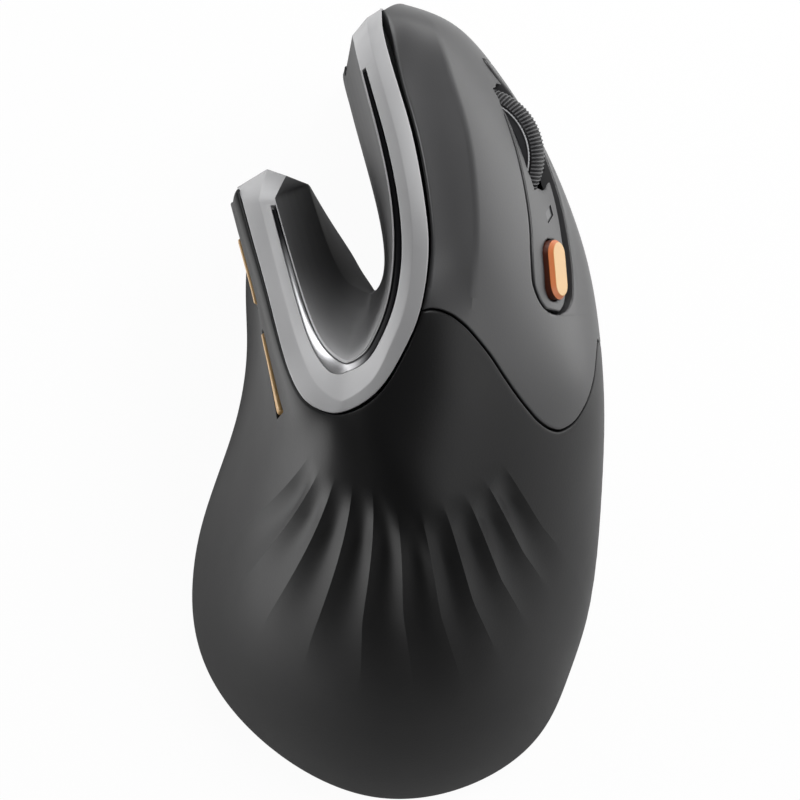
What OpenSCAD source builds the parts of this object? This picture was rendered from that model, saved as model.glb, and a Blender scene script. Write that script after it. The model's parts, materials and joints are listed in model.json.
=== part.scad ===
// Vertical ergonomic mouse for the right hand, forked at the front, in millimetres.
// X runs from the thumb side to the finger side, Y towards the front and Z up.
// The origin lies on the desk under the middle of the body.

/* [Body] */
// Width over the thumb flare and the finger side
body_w = 65.4; // [60:0.1:75]
// Length from the heel to the tip of the finger prong
body_l = 123.6; // [115:0.1:140]
// Height from the feet to the top of the fork
body_h = 66; // [60:0.1:74]
// Wall of the palm and thumb shell
shell_wall = 2; // [1.6:0.1:2.4]
// Wall of the finger panel and its keys
panel_wall = 1.8; // [1.4:0.1:2.2]
// Gap at a seam between two fixed covers
seam_gap = 0.38; // [0.3:0.02:0.5]
// Gap round a key that moves
key_gap = 1; // [0.8:0.05:1.2]
// Depth of the scallops in the palm fan
pleat_depth = 1.1; // [0.5:0.1:1.6]

/* [Fork trim] */
// Wall of the fork trim
trim_wall = 1.8; // [1.4:0.1:2.2]
// Rise of the ridge along the trim
ridge_rise = 0.8; // [0.4:0.1:1.2]
// Depth of the groove that holds the accent strip
groove_depth = 0.9; // [0.6:0.1:1.1]
// Reach of the thumb prong's nose
thumb_nose_reach = 4.6; // [3:0.1:5.5]
// Reach of the finger prong's nose
finger_nose_reach = 1.4; // [0.8:0.1:2]

/* [Base] */
// Thickness of the base plate
base_t = 3; // [2.4:0.1:3.4]
// Height of the glide feet
foot_t = 0.8; // [0.6:0.1:1]
// Width of a glide foot
foot_w = 5; // [4:0.1:7]
// Diameter of an assembly screw's shank
screw_d = 2; // [1.6:0.1:2.4]
// Diameter of a screw post
post_d = 5; // [4.4:0.1:6]

/* [Wheel] */
// Diameter of the scroll wheel over its tread
wheel_d = 21; // [19:0.2:22]
// Width of the scroll wheel
wheel_w = 6.6; // [6:0.1:7.2]
// How far the wheel stands out of the finger panel
wheel_proud = 2.6; // [2:0.1:3]
// Thickness of the rubber tread
tyre_t = 2; // [1.6:0.1:2.6]
// Diameter of the wheel's axle
axle_d = 2.4; // [2:0.1:3]
// Radial clearance of the axle in its bearings
axle_play = 0.05; // [0.03:0.01:0.08]

/* [Buttons] */
// Length of the resolution button
dpi_l = 9; // [8:0.1:9.6]
// Width of the resolution button
dpi_w = 4.8; // [4:0.1:5.2]
// How far the resolution button stands out
dpi_proud = 1; // [0.6:0.1:1.4]
// How far the side buttons stand out of the thumb wall
side_proud = 0.7; // [0.5:0.1:1.5]
// Width of the light window
lens_w = 1.4; // [1:0.1:1.8]
// Length of the light window
lens_l = 2.6; // [2:0.1:3.2]

/* [Electronics] */
// Thickness of a circuit board
board_t = 1.2; // [0.8:0.1:1.6]
// Length of a micro switch
switch_l = 12.8; // [11:0.1:13]
// Width of a micro switch
switch_w = 5.8; // [5:0.1:6]
// Height of a micro switch
switch_h = 4.6; // [4.2:0.1:5]
// Side of a tact switch
tact_w = 4.4; // [4:0.1:4.6]
// Height of a tact switch
tact_h = 1.8; // [1.5:0.1:2]
// Diameter of a switch plunger
plunger_d = 2; // [1.6:0.1:2.2]
// Length, width and thickness of the battery
battery_size = [24, 34, 6]; // [4:0.5:40]
// Width of the charging port
port_w = 9; // [8.9:0.05:9.1]
// Height of the charging port
port_h = 3.2; // [3.1:0.05:3.3]

/* [Hidden] */
$fn = 40;

// Stations round the fork, from the thumb prong's tip to the finger prong's tip.
// Each is a share of the width from the thumb side, of the length from the heel and of the height.
// The seam is where the covers meet the fork trim.
seam_share = [
    [0.143, 0.761, 0.583], [0.173, 0.705, 0.636], [0.202, 0.652, 0.689], [0.231, 0.594, 0.742],
    [0.257, 0.550, 0.788], [0.290, 0.518, 0.826], [0.329, 0.504, 0.848], [0.361, 0.500, 0.864],
    [0.390, 0.503, 0.879], [0.422, 0.511, 0.898], [0.458, 0.526, 0.917], [0.490, 0.548, 0.932],
    [0.519, 0.576, 0.947], [0.553, 0.619, 0.967], [0.572, 0.679, 0.985], [0.568, 0.738, 0.992],
    [0.540, 0.823, 0.985], [0.503, 0.893, 0.955], [0.473, 0.952, 0.909], [0.469, 0.982, 0.864]];
// The shoulder pulls the skin into the rolled rim and the crease of the keys
shoulder_share = [
    [0.093, 0.759, 0.561], [0.123, 0.701, 0.614], [0.155, 0.646, 0.667], [0.187, 0.586, 0.720],
    [0.218, 0.535, 0.765], [0.251, 0.491, 0.803], [0.301, 0.456, 0.818], [0.367, 0.420, 0.864],
    [0.460, 0.409, 0.909], [0.555, 0.397, 0.932], [0.633, 0.421, 0.924], [0.667, 0.468, 0.924],
    [0.689, 0.522, 0.932], [0.694, 0.593, 0.939], [0.687, 0.672, 0.952], [0.678, 0.741, 0.955],
    [0.662, 0.831, 0.947], [0.627, 0.906, 0.909], [0.596, 0.971, 0.848], [0.505, 1.001, 0.788]];
// The flank swells the finger side and hollows the thumb side
flank_share = [
    [0.178, 0.750, 0.212], [0.188, 0.696, 0.212], [0.203, 0.640, 0.227], [0.198, 0.574, 0.242],
    [0.175, 0.501, 0.242], [0.127, 0.427, 0.242], [0.085, 0.333, 0.273], [0.140, 0.180, 0.364],
    [0.430, 0.116, 0.455], [0.698, 0.128, 0.455], [0.887, 0.242, 0.424], [1.003, 0.354, 0.455],
    [1.077, 0.459, 0.470], [1.080, 0.558, 0.500], [1.049, 0.659, 0.530], [0.997, 0.750, 0.545],
    [0.908, 0.846, 0.553], [0.808, 0.927, 0.545], [0.692, 0.986, 0.500], [0.547, 1.009, 0.424]];
// The skirt is the lower edge of the covers, just above the base plate
skirt_share = [
    [0.150, 0.763, 0.061], [0.137, 0.704, 0.061], [0.133, 0.642, 0.061], [0.135, 0.572, 0.061],
    [0.108, 0.487, 0.061], [0.050, 0.396, 0.061], [0.004, 0.284, 0.061], [0.081, 0.130, 0.061],
    [0.432, 0.005, 0.061], [0.787, 0.051, 0.061], [0.919, 0.158, 0.061], [0.977, 0.269, 0.061],
    [0.977, 0.392, 0.061], [0.958, 0.511, 0.061], [0.926, 0.632, 0.061], [0.875, 0.722, 0.061],
    [0.802, 0.812, 0.061], [0.700, 0.881, 0.061], [0.597, 0.930, 0.061], [0.500, 0.951, 0.061]];
// How hard the skin hugs the shoulder and the flank at each station
shoulder_pull_share = [
    3, 2.5, 2.5, 2.2, 2, 1.6, 1.3, 1.2, 1.2, 1.2, 1.2, 1.2, 1.4, 2, 3, 3.5, 3.5, 3.5, 3, 2];
flank_pull_share = [
    1.5, 1.5, 1.5, 1.3, 1.2, 1.1, 1.1, 1.1, 1.1, 1.1, 1.1, 1.1, 1.3, 2, 2.8, 3.2, 3.2, 3.2, 2.6, 1.6];

// Inner wall of the fork, at every second place round it: lip, crease and foot
lip_share = [
    [0.220, 0.763, 0.606], [0.273, 0.668, 0.674], [0.327, 0.593, 0.758], [0.376, 0.566, 0.818],
    [0.396, 0.564, 0.841], [0.422, 0.572, 0.864], [0.449, 0.593, 0.894], [0.485, 0.652, 0.939],
    [0.485, 0.759, 0.970], [0.433, 0.882, 0.932], [0.401, 0.952, 0.848]];
crease_share = [
    [0.294, 0.784, 0.455], [0.336, 0.715, 0.439], [0.376, 0.670, 0.424], [0.404, 0.657, 0.409],
    [0.422, 0.652, 0.409], [0.437, 0.649, 0.409], [0.451, 0.651, 0.439], [0.475, 0.679, 0.500],
    [0.456, 0.762, 0.545], [0.387, 0.889, 0.576], [0.383, 0.914, 0.636]];
foot_share = [
    [0.291, 0.791, 0.061], [0.339, 0.748, 0.061], [0.388, 0.708, 0.061], [0.412, 0.686, 0.061],
    [0.429, 0.672, 0.061], [0.444, 0.660, 0.061], [0.454, 0.659, 0.061], [0.471, 0.688, 0.061],
    [0.449, 0.773, 0.061], [0.383, 0.905, 0.061], [0.391, 0.933, 0.061]];

// Panel lines as [station, share of the way down the skin]
high_line_share = [[0, 0.25], [6, 0.25], [11, 0.42], [12.5, 0.46], [13.5, 0.51], [13.6, 0.47],
    [13.9, 0.436], [14.8, 0.474], [15.4, 0.49], [16, 0.505], [16.7, 0.52], [17.25, 0.545], [19, 0.55]];
low_line_share = [[0, 0.43], [6, 0.43], [11, 0.56], [12.5, 0.585], [13.5, 0.535], [13.6, 0.58],
    [13.9, 0.625], [14.7, 0.68], [15.45, 0.7], [16, 0.7], [16.6, 0.68], [17.25, 0.58], [19, 0.57]];
band_line_share = [[0, 0.7], [8, 0.75], [12, 0.84], [13.4, 0.87], [19, 0.85]];
// Finger plate's seam as [panel line, station]
plate_line_share = [[0, 13.03], [0.05, 13.15], [0.19, 13.15], [0.31, 13.04], [0.56, 12.68],
    [0.84, 12.23], [1.32, 11.96], [1.79, 11.96], [2.1, 12.12], [2.37, 12.5], [2.68, 12.93],
    [3, 13.4], [4, 13.4]];
// Ridge and groove as [station, share of the way from the seam to the lip]
ridge_line_share = [[0, 0.5], [4, 0.42], [7.5, 0.25], [11, 0.3], [14, 0.33], [19, 0.4]];
groove_out_share = [[0, 0.8], [3, 0.7], [7.5, 0.76], [11, 0.7], [14, 0.62], [19, 0.73]];
groove_in_share = [[0, 0.93], [8, 0.94], [13, 0.88], [19, 0.9]];

// Stations where parts begin and end
last_share = len(seam_share) - 1;
plate_share = 12;
root_share = 13.5;
root_lean_share = 0.28;
slot_front_share = 16.5;
strip_front_share = 17.25;
free_share = 10.7;
groove_shares = [0.2, 17.6];
side_pad_shares = [[0.7, 2.3], [2.75, 4.75]];
// Pleats of the palm fan: first and last crest, spacing and how they lean near the top
pleat_first_share = 6.09;
pleat_pitch_share = 0.46;
pleat_count = 10;
pleat_last_share = pleat_first_share + pleat_pitch_share * pleat_count;
pleat_top_share = [[6, 0.16], [8, 0.2], [9, 0.27], [11, 0.36]];
pleat_end_share = 0.72;
pleat_lean_share = 0.26;
pleat_lean_from_share = 0.6;
pleat_lean_run_share = 0.35;
// Small step used to find the slope of the skin
slope_share = 0.01;
// Millimetres that one station and the whole way down the skin run over, near the keys
station_run = body_l * 0.09;
down_run = body_w * 0.8;

// Where the wall's direction starts to turn level above the skirt
level_from_share = 0.85;
level_run_share = 1 / (1 - level_from_share);
// Stations over which the panel grid starts and stops following the pleats
pleat_from_share = 5;
pleat_fade_share = 0.6;

// Columns and rows of the panel grid, which count stations and panel lines
prong_shares = [0, 0.35, 0.7, 1.1, 1.5, 1.9, 2.3, 2.75, 3.25, 3.75, 4.25, 4.75, 5.2, 5.65];
heel_shares = [11.1, 11.55];
key_shares = [13.5, 13.55, 13.65, 13.8, 14, 14.25, 14.5, 14.75, 15, 15.25, 15.5, 15.75, 16, 16.25, 16.5,
    16.75, 17, 17.25];
tip_shares = [17.7, 18.1, 18.4, 18.65, 18.85, 19];
rim_shares = [0, 0.06, 0.16, 0.26, 0.34, 0.41, 0.48, 0.56, 0.66, 0.76, 0.88, 1];
strip_shares = [1, 1.25, 1.5, 1.75, 2];
side_shares = ticks(2, 3, 6);
band_shares = [3, 3.25, 3.5, 3.75, 4];
// The island ahead of the strip steps back by this much over the last row
island_step_share = 0.25;
island_row_share = 1.75;
// Stations at which the trim and the accent strip are drawn
trim_middle_shares = [0.6, 1.1, 1.6, 2.1, 2.6, 3.1, 3.6, 4.1, 4.6, 5.1, 5.6, 6, 6.3, 6.6, 6.9, 7.2, 7.5, 7.8,
    8.1, 8.4, 8.7, 9, 9.3, 9.6, 9.9, 10.2, 10.5, 10.8, 11.1, 11.4, 11.7, 12, 12.3, 12.6, 12.9, 13.2, 13.8,
    14.4, 15, 15.6, 16.2, 16.8, 17.4];
trim_end_share = 18.3;
groove_edge_share = 0.04;
groove_back_share = [0.2, 0.4, 0.6, 0.8];
wall_hollow_share = [0.4, 0.6];
nose_turn_share = 0.3;
nose_foot_share = 0.4;
nose_peak_share = 0.45;

// Frames of the flat-built pieces: spot on the skin as [station, share down], tilt, yaw and spin
wheel_spot_share = [16.02, 0.6];
finger_tilt = 70;
finger_yaw = 23;
dpi_spot_share = [14.12, 0.55];
dpi_tilt = 60;
dpi_yaw = 5;
lens_spot_share = [14.98, 0.59];
lens_tilt = 64;
lens_yaw = 14;
pad_spot_share = [[1.5, 0.335], [3.75, 0.335]];
thumb_tilt = 86;
thumb_yaw = -168;
thumb_spin = 22;

// Overrun of a cut, and gaps round the pressed pieces
cut = 1;
rest_gap = 0.35;
press_gap = 0.35;
// Share of the key gap along the keys' upper edge, as [station, share]
top_gap_share = [[12, 0.38], [13.5, 0.45], [14.2, 0.65], [15.5, 0.9], [17, 1], [19, 1.05]];

// Trim, accent strip and base
groove_rest = 0.04;
strip_play = 0.1;
strip_sink = 0.15;
base_inset = 0.5;
rim_steps = 38;
foot_steps = 24;
screw_bite = 5;
screw_play = 0.2;
screw_tip_gap = 0.3;
screw_head_d = 2 * screw_d;
screw_head_h = 1.2;
foot_length = 14;
window_size = [7, 10];
power_slot = [3, 7];
pair_d = 4;
pair_play = 0.4;

// Places in the base, as shares of the width and the length
screw_spots_share = [[0.202, 0.29], [0.76, 0.201], [0.274, 0.585], [0.844, 0.577]];
post_top_share = [0.33, 0.29, 0.45, 0.55];
foot_spots_share = [[0.225, 0.209], [0.745, 0.16], [0.24, 0.67], [0.76, 0.694]];
foot_turns = [90, 90, 160, 155];
board_spot_share = [0.515, 0.395];
board_size_share = [0.52, 0.324];
sensor_spot_share = [0.5, 0.524];
bay_spot_share = [0.521, 0.306];
switch_spot_share = [0.332, 0.403];
pair_spot_share = [0.332, 0.492];
cell_front_share = [0.515, 0.524];
stand_spots_share = [[0.6835, 0.71], [0.76, 0.678]];
thumb_stand_share = [0.278, 0.6416];
ribbon_spots_share = [0.63, 0.4];
port_front_share = 0.9045;
// Height down the finger nose whose middle the port lines up with
port_nose_share = 0.95;

// Main board, battery and receiver
pcb_lift = 5.4;
pcb_hole_inset = 2.6;
sensor_lens_t = 1.2;
cell_lift = 3;
frame_wall = 1.2;
receiver_size = [14, 18.4, 4.6];
receiver_sink = 0.2;
bay_play = 0.3;
bay_wall = 1;
bay_roof_gap = 0.5;
stand_w = 4;
ribbon_w = 5;
ribbon_t = 0.4;
ribbon_gap = 1.3;
finger_ribbon_end = [13.3, -22.6, -14.3];
thumb_ribbon_end = [3.7, 11.2, -6.1];

// Wheel, cradle and bracket, in the finger frame
slot_play = 0.5;
slot_l = 17.6;
arm_t = 1.2;
arm_play = 0.5;
arm_rise = 2.1;
arm_drop = 0.7;
bar_gap = 0.8;
pivot_y = 13.2;
pivot_rise = 0.3;
pivot_d = 1.6;
pivot_play = 0.05;
eye_inset = 0.4;
boss_r = 2.3;
ear_t = 1.2;
ear_l = 3;
ear_rise = 1.2;
ear_play = 0.3;
tie_l = 2.1;
tie_t = 0.5;
tie_back = 0.6;
bar_l = 1.6;
bar_t = 1.4;
bar_reach = 2;
encoder_t = 2.6;
encoder_w = 8;
encoder_h = 5;
encoder_rise = 0.9;
rim_w = 0.7;
rim_lip = 0.5;
crown = 0.5;
axle_end = 0.3;

// Finger board and its switches, in the finger frame
board_drop = 1.7;
board_cut_play = 0.6;
board_cut_y = [-12.4, 12];
board_x = [-13.6, 13.4];
board_front = 15;
board_step = [-7, -12];
board_notch = [8, 8];
left_switch_at = [-10.6, 7];
right_switch_at = [10, -4];
middle_switch_x = 7.4;
board_margin = 0.8;
plunger_reach = 2.5;
plunger_play = 0.15;
plunger_stroke = 0.9;
tact_stroke = 0.7;
// Where the keys meet their plungers as [station, share down], and room for the keys' slope there
left_touch_share = [16.8, 0.314];
right_touch_share = [16.01, 0.7845];
key_slope_gap = 0.24;
dpi_stem_d = 2.4;
dpi_stem_end = -3.1;
dpi_body_h = 2.2;
dpi_switch_shift = [0.92, 0.83];
dpi_slope_gap = 0.36;

// Thumb board and its switches, in the thumb frame
side_pad_t = 1.6;
pad_steps = 7;
pad_side_gap = 0.77;
pad_end_gap = 0.7;
pad_slope_gap = 0.3;
thumb_plunger_h = 0.9;
thumb_board = [5.8, 25];
thumb_board_at = [-3, -12.2];
stand_drop = 2.1;

// Charging port, power switch and pairing button
port_lift = 4;
port_l = 7;
port_wall = 0.4;
port_play = 0.2;
port_board = [board_t, 10, 13];
knob_stroke = 1.4;
knob_play = 0.3;
knob_sink = 0.4;
switch_size = [4, 8, 2.4];
knob_size = [1.6, 2.6];
pair_sink = 0.3;
pair_slack = 0.1;

function place(p) = [(p.x - 0.5) * body_w, (p.y - 0.5) * body_l, p.z * body_h];
function places(list) = [for (p = list) place(p)];
function unit(v) = v / norm(v);
function blend(a, b, k) = a * (1 - k) + b * k;
function clamp(x, low, high) = min(max(x, low), high);
function ease(x) = let(k = clamp(x, 0, 1)) k * k * (3 - 2 * k);
function ticks(a, b, n) = [for (i = [0:n]) a + (b - a) * i / n];

// Natural cubic spline through evenly spaced stations: forward and backward elimination
function forward(p, i, c, d, rows) =
    i > len(p) - 2 ? rows
    : let(ci = 1 / (4 - c), di = ((p[i - 1] - 2 * p[i] + p[i + 1]) * 6 - d) * ci)
      forward(p, i + 1, ci, di, concat(rows, [[ci, di]]));
function backward(rows, i, m, out) =
    i < 0 ? out
    : let(mi = rows[i][1] - rows[i][0] * m) backward(rows, i - 1, mi, concat([mi], out));
function bends(p) =
    let(zero = 0 * p[0], rows = forward(p, 1, 0, zero, []))
    concat([zero], backward(rows, len(rows) - 1, zero, []), [zero]);
function along(p, m, s) =
    let(i = clamp(floor(s), 0, len(p) - 2), u = s - i, v = 1 - u)
    p[i] * v + p[i + 1] * u + (m[i] * (v * v * v - v) + m[i + 1] * (u * u * u - u)) / 6;

seam_pts = places(seam_share);
shoulder_pts = places(shoulder_share);
flank_pts = places(flank_share);
skirt_pts = places(skirt_share);
lip_pts = places(lip_share);
crease_pts = places(crease_share);
foot_pts = places(foot_share);
seam_m = bends(seam_pts);
shoulder_m = bends(shoulder_pts);
flank_m = bends(flank_pts);
skirt_m = bends(skirt_pts);
shoulder_pull_m = bends(shoulder_pull_share);
flank_pull_m = bends(flank_pull_share);
lip_m = bends(lip_pts);
crease_m = bends(crease_pts);
foot_m = bends(foot_pts);
inner_step_share = last_share / (len(lip_share) - 1);

function seam_at(s) = along(seam_pts, seam_m, s);
function lip_at(s) = along(lip_pts, lip_m, s / inner_step_share);
function crease_at(s) = along(crease_pts, crease_m, s / inner_step_share);
function foot_at(s) = along(foot_pts, foot_m, s / inner_step_share);

// Plain skin: a rational cubic from the seam over the shoulder and flank to the skirt.
// hug is 1 for the true skin and 0 for the softer one that gives the wall its direction.
function skin(s, t, hug) =
    let(u = t, v = 1 - t,
        wa = 1 + (along(shoulder_pull_share, shoulder_pull_m, s) - 1) * hug,
        wb = 1 + (along(flank_pull_share, flank_pull_m, s) - 1) * hug,
        a = v * v * v, b = 3 * v * v * u * wa, c = 3 * v * u * u * wb, d = u * u * u)
    (seam_at(s) * a + along(shoulder_pts, shoulder_m, s) * b + along(flank_pts, flank_m, s) * c
        + along(skirt_pts, skirt_m, s) * d) / (a + b + c + d);
function facing(s, t) =
    let(s0 = max(s - slope_share, 0), s1 = min(s + slope_share, last_share),
        t0 = max(t - slope_share, 0), t1 = min(t + slope_share, 1))
    unit(cross(skin(s, t1, 0) - skin(s, t0, 0), skin(s1, t, 0) - skin(s0, t, 0)));
// The wall's direction turns level at the skirt, so that a cover ends flat on the base
function inward(s, t) =
    let(f = facing(s, t), level = ease((t - level_from_share) * level_run_share))
    unit([f.x, f.y, f.z * (1 - level)]);
// Scallops between sharp crests, fading out at both ends of the fan
function pleat_lean(t) =
    pleat_lean_share * pow(max(0, pleat_lean_from_share - t) / pleat_lean_run_share, 1.5);
function pleat(s, t) =
    let(c = s - pleat_lean(t), top = lookup(c, pleat_top_share),
        wide = clamp((t - top) / (pleat_end_share - top), 0, 1))
    c < pleat_first_share || c > pleat_last_share ? 0
    : -pleat_depth * abs(sin(180 * (c - pleat_first_share) / pleat_pitch_share)) * pow(sin(180 * wide), 2);
function outside(s, t) = skin(s, t, 1) + facing(s, t) * pleat(s, t);

// Panel grid: column c counts stations, row r counts panel lines
function row_share(r, s) =
    let(k = [0, lookup(s, high_line_share), lookup(s, low_line_share), lookup(s, band_line_share), 1],
        i = clamp(floor(r), 0, 3))
    blend(k[i], k[i + 1], r - i);
function column_s(c, r) =
    let(plate = lookup(r, plate_line_share), root = root_share + root_lean_share * clamp(r - 2, 0, 1))
    c <= free_share ? c + pleat_lean(row_share(r, c)) * ease(c - pleat_from_share)
        * ease((free_share + pleat_fade_share - c) / pleat_fade_share)
    : c <= plate_share ? blend(free_share, plate, (c - free_share) / (plate_share - free_share))
    : c <= root_share ? blend(plate, root, (c - plate_share) / (root_share - plate_share))
    : c <= strip_front_share
        ? blend(root, strip_front_share, (c - root_share) / (strip_front_share - root_share))
    : c;
function grid_st(c, r, shift) =
    let(s = clamp(column_s(c, r) + shift.x / station_run, 0, last_share))
    [s, clamp(row_share(r, s) + shift.y / down_run, 0, 1)];

// A wall between an outer and an inner net of points, over the cells that keep passes.
// Net rows run across, and the outside is on the left of a row's run seen from the next row.
module wall_net(outer, inner, keep = function(i, j) true) {
    n = len(outer);
    m = len(outer[0]);
    back = n * m;
    on = [for (i = [0:n - 2]) [for (j = [0:m - 2]) keep(i, j)]];
    function lit(i, j) = i >= 0 && j >= 0 && i < n - 1 && j < m - 1 && on[i][j];
    function side(p, q) = [[q, p, p + back], [q, p + back, q + back]];
    cells = [for (i = [0:n - 2]) for (j = [0:m - 2]) if (on[i][j])
        let(a = i * m + j, b = a + m, c = b + 1, d = a + 1)
        concat([[a, b, c], [a, c, d], [a + back, c + back, b + back], [a + back, d + back, c + back]],
            lit(i, j - 1) ? [] : side(a, b), lit(i + 1, j) ? [] : side(b, c),
            lit(i, j + 1) ? [] : side(c, d), lit(i - 1, j) ? [] : side(d, a))];
    points = concat([for (row = outer) for (p = row) p], [for (row = inner) for (p = row) p]);
    polyhedron(points = points, faces = [for (cell = cells) for (f = cell) f], convexity = 12);
}
function middle(list, i) = (list[i] + list[i + 1]) / 2;

// A cover over part of the panel grid
module cover(cols, rows, wall, keep = function(c, r) true, shift = function(c, r) [0, 0], lift = 0) {
    st = [for (c = cols) [for (r = rows) grid_st(c, r, shift(c, r))]];
    wall_net([for (row = st) [for (p = row) outside(p.x, p.y) + facing(p.x, p.y) * lift]],
        [for (row = st) [for (p = row) skin(p.x, p.y, 1) - inward(p.x, p.y) * wall]],
        function(i, j) keep(middle(cols, i), middle(rows, j)));
}

fan_shares = ticks(pleat_first_share, pleat_last_share, pleat_count * 3);
plate_col_shares = ticks(plate_share, root_share, 5);
function tail(list) = [for (i = [1:len(list) - 1]) list[i]];
all_shares = concat(rim_shares, tail(strip_shares), tail(side_shares), tail(band_shares));

function in_pad(c, r) = r > 1 && r < 2 && len([for (p = side_pad_shares) if (c > p[0] && c < p[1]) p]) > 0;

// Frames in which flat-built parts sit: on the finger panel, in its strip and on the thumb wall
wheel_touch = skin(wheel_spot_share[0], wheel_spot_share[1], 1);
dpi_touch = skin(dpi_spot_share[0], dpi_spot_share[1], 1);
lens_touch = skin(lens_spot_share[0], lens_spot_share[1], 1);
thumb_touch = (skin(pad_spot_share[0][0], pad_spot_share[0][1], 1)
    + skin(pad_spot_share[1][0], pad_spot_share[1][1], 1)) / 2;

// A direction of a frame in the part, a place from or in the finger frame, and the same for the thumb
function spun(v, a) = [v.x * cos(a) - v.y * sin(a), v.x * sin(a) + v.y * cos(a), v.z];
function tipped(v, a) = [v.x * cos(a) + v.z * sin(a), v.y, v.z * cos(a) - v.x * sin(a)];
function turned(v, tilt, yaw) = spun(tipped(v, tilt), yaw);
function thumb_turned(v) = turned(spun(v, thumb_spin), thumb_tilt, thumb_yaw);
axes = [[1, 0, 0], [0, 1, 0], [0, 0, 1]];
function from_finger(p) = wheel_touch + turned(p, finger_tilt, finger_yaw);
function in_finger(p) = [for (a = axes) (p - wheel_touch) * turned(a, finger_tilt, finger_yaw)];
function from_thumb(p) = thumb_touch + thumb_turned(p);
function in_thumb(p) = [for (a = axes) (p - thumb_touch) * thumb_turned(a)];
function inside(spot, wall) = skin(spot[0], spot[1], 1) - inward(spot[0], spot[1]) * wall;

module at_finger() translate(wheel_touch) rotate([0, finger_tilt, finger_yaw]) children();
module at_dpi() translate(dpi_touch) rotate([0, dpi_tilt, dpi_yaw]) children();
module at_lens() translate(lens_touch) rotate([0, lens_tilt, lens_yaw]) children();
module at_thumb() translate(thumb_touch) rotate([0, thumb_tilt, thumb_yaw])
    rotate([0, 0, thumb_spin]) children();
// A block whose lowest corner is p and whose size is d
module block(p, d) translate(p) cube(d);
// A block centred on p in X and Y that rises from p
module stand_block(p, d) translate([p.x - d.x / 2, p.y - d.y / 2, p.z]) cube(d);
module peg(p, d, h) translate(p) cylinder(d = d, h = h);
// A stadium of length l along Y and width w, rising h from p
module stadium(p, l, w, h) translate(p) union() {
    stand_block([0, 0, 0], [w, l - w, h]);
    peg([0, (l - w) / 2, 0], w, h);
    peg([0, (w - l) / 2, 0], w, h);
}

// Heights and reaches of the wheel and what carries it, in the finger frame
wheel_r = wheel_d / 2;
hub_r = wheel_r - tyre_t;
hub_w = wheel_w - 2 * rim_w;
axle_z = wheel_proud - wheel_r;
slot_w = wheel_w + 2 * slot_play;
arm_x = wheel_w / 2 + arm_play;
arm_top = axle_z + arm_rise;
arm_bottom = axle_z - arm_drop;
pivot_z = axle_z + pivot_rise;
ear_x = arm_x + arm_t + ear_play;
bar_top = arm_top;
bar_bottom = arm_top - bar_t;
board_z = axle_z - board_drop;
board_cut_x = arm_x + arm_t + board_cut_play;

// Tops of the plungers under the keys, the resolution button and the side buttons
left_plunger_top = in_finger(inside(left_touch_share, panel_wall)).z - press_gap - key_slope_gap;
right_plunger_top = in_finger(inside(right_touch_share, panel_wall)).z - press_gap - key_slope_gap;
dpi_end = in_finger(dpi_touch + turned([0, 0, dpi_stem_end], dpi_tilt, dpi_yaw));
dpi_plunger_top = dpi_end.z - press_gap - dpi_slope_gap;
dpi_switch_at = [dpi_end.x, dpi_end.y] + dpi_switch_shift;
arm_back = dpi_switch_at.y + tact_w / 2 + bar_gap;
middle_switch_at = [middle_switch_x, arm_back + bar_l / 2];
board_y = [dpi_switch_at.y - tact_w / 2 - board_margin, board_front];
thumb_board_z = -side_pad_t - press_gap - thumb_plunger_h - tact_h;
pad_ends = [for (spot = pad_spot_share) in_thumb(inside(spot, side_pad_t))];

// Places in the base
function spot_at(p) = [(p.x - 0.5) * body_w, (p.y - 0.5) * body_l];
base_top = foot_t + base_t;
pcb_z = base_top + pcb_lift;
pcb_size = [board_size_share.x * body_w, board_size_share.y * body_l];
pcb_at = spot_at(board_spot_share);
sensor_at = spot_at(sensor_spot_share);
bay_at = spot_at(bay_spot_share);
switch_at = spot_at(switch_spot_share);
pair_at = spot_at(pair_spot_share);
screw_at = [for (p = screw_spots_share) spot_at(p)];
pcb_corners = [for (x = [-1, 1]) for (y = [-1, 1])
    [pcb_at.x + x * (pcb_size.x / 2 - pcb_hole_inset), pcb_at.y + y * (pcb_size.y / 2 - pcb_hole_inset)]];
cell_front = spot_at(cell_front_share);
battery_at = [cell_front.x, cell_front.y - battery_size.y / 2];
battery_z = pcb_z + board_t + cell_lift;
ribbon_x = [for (share = ribbon_spots_share) (share - 0.5) * body_w];
ribbon_y = cell_front.y + bay_play + frame_wall + ribbon_gap;
stand_spots = [for (p = stand_spots_share) spot_at(p)];
thumb_stand_at = spot_at(thumb_stand_share);
port_edges = [nose_cover(last_share, port_nose_share, key_gap),
    nose_wall(last_share, port_nose_share, seam_gap)];
port_at = [(port_edges[0].x + port_edges[1].x) / 2, (port_front_share - 0.5) * body_l, base_top + port_lift];

// Plan outline of the base, drawn in a little from the covers
rim = concat([for (s = ticks(0, last_share, rim_steps)) along(skirt_pts, skirt_m, s)],
    [for (s = ticks(last_share, 0, foot_steps)) foot_at(s)]);
base_outline = [for (i = [0:len(rim) - 1])
    let(a = rim[(i + len(rim) - 1) % len(rim)], b = rim[(i + 1) % len(rim)],
        d = unit([b.x - a.x, b.y - a.y]))
    [rim[i].x - d.y * base_inset, rim[i].y + d.x * base_inset]];

// Edge shifts of the covers: half the seam on each side, more round the keys
half_seam = seam_gap / 2;
half_key = key_gap / 2;
function top_play(c) = key_gap * lookup(c, top_gap_share);

module main_shell() {
    color("#222224")
    cover(concat(prong_shares, fan_shares, heel_shares, plate_col_shares, tail(key_shares), tip_shares),
        all_shares, shell_wall,
        function(c, r) (c < plate_share || r > 3) && !in_pad(c, r),
        function(c, r) [c == plate_share && r <= 3 ? -half_seam : 0,
            r == 0 ? seam_gap : r == 3 && c >= plate_share ? half_seam : 0]);
}

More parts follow.
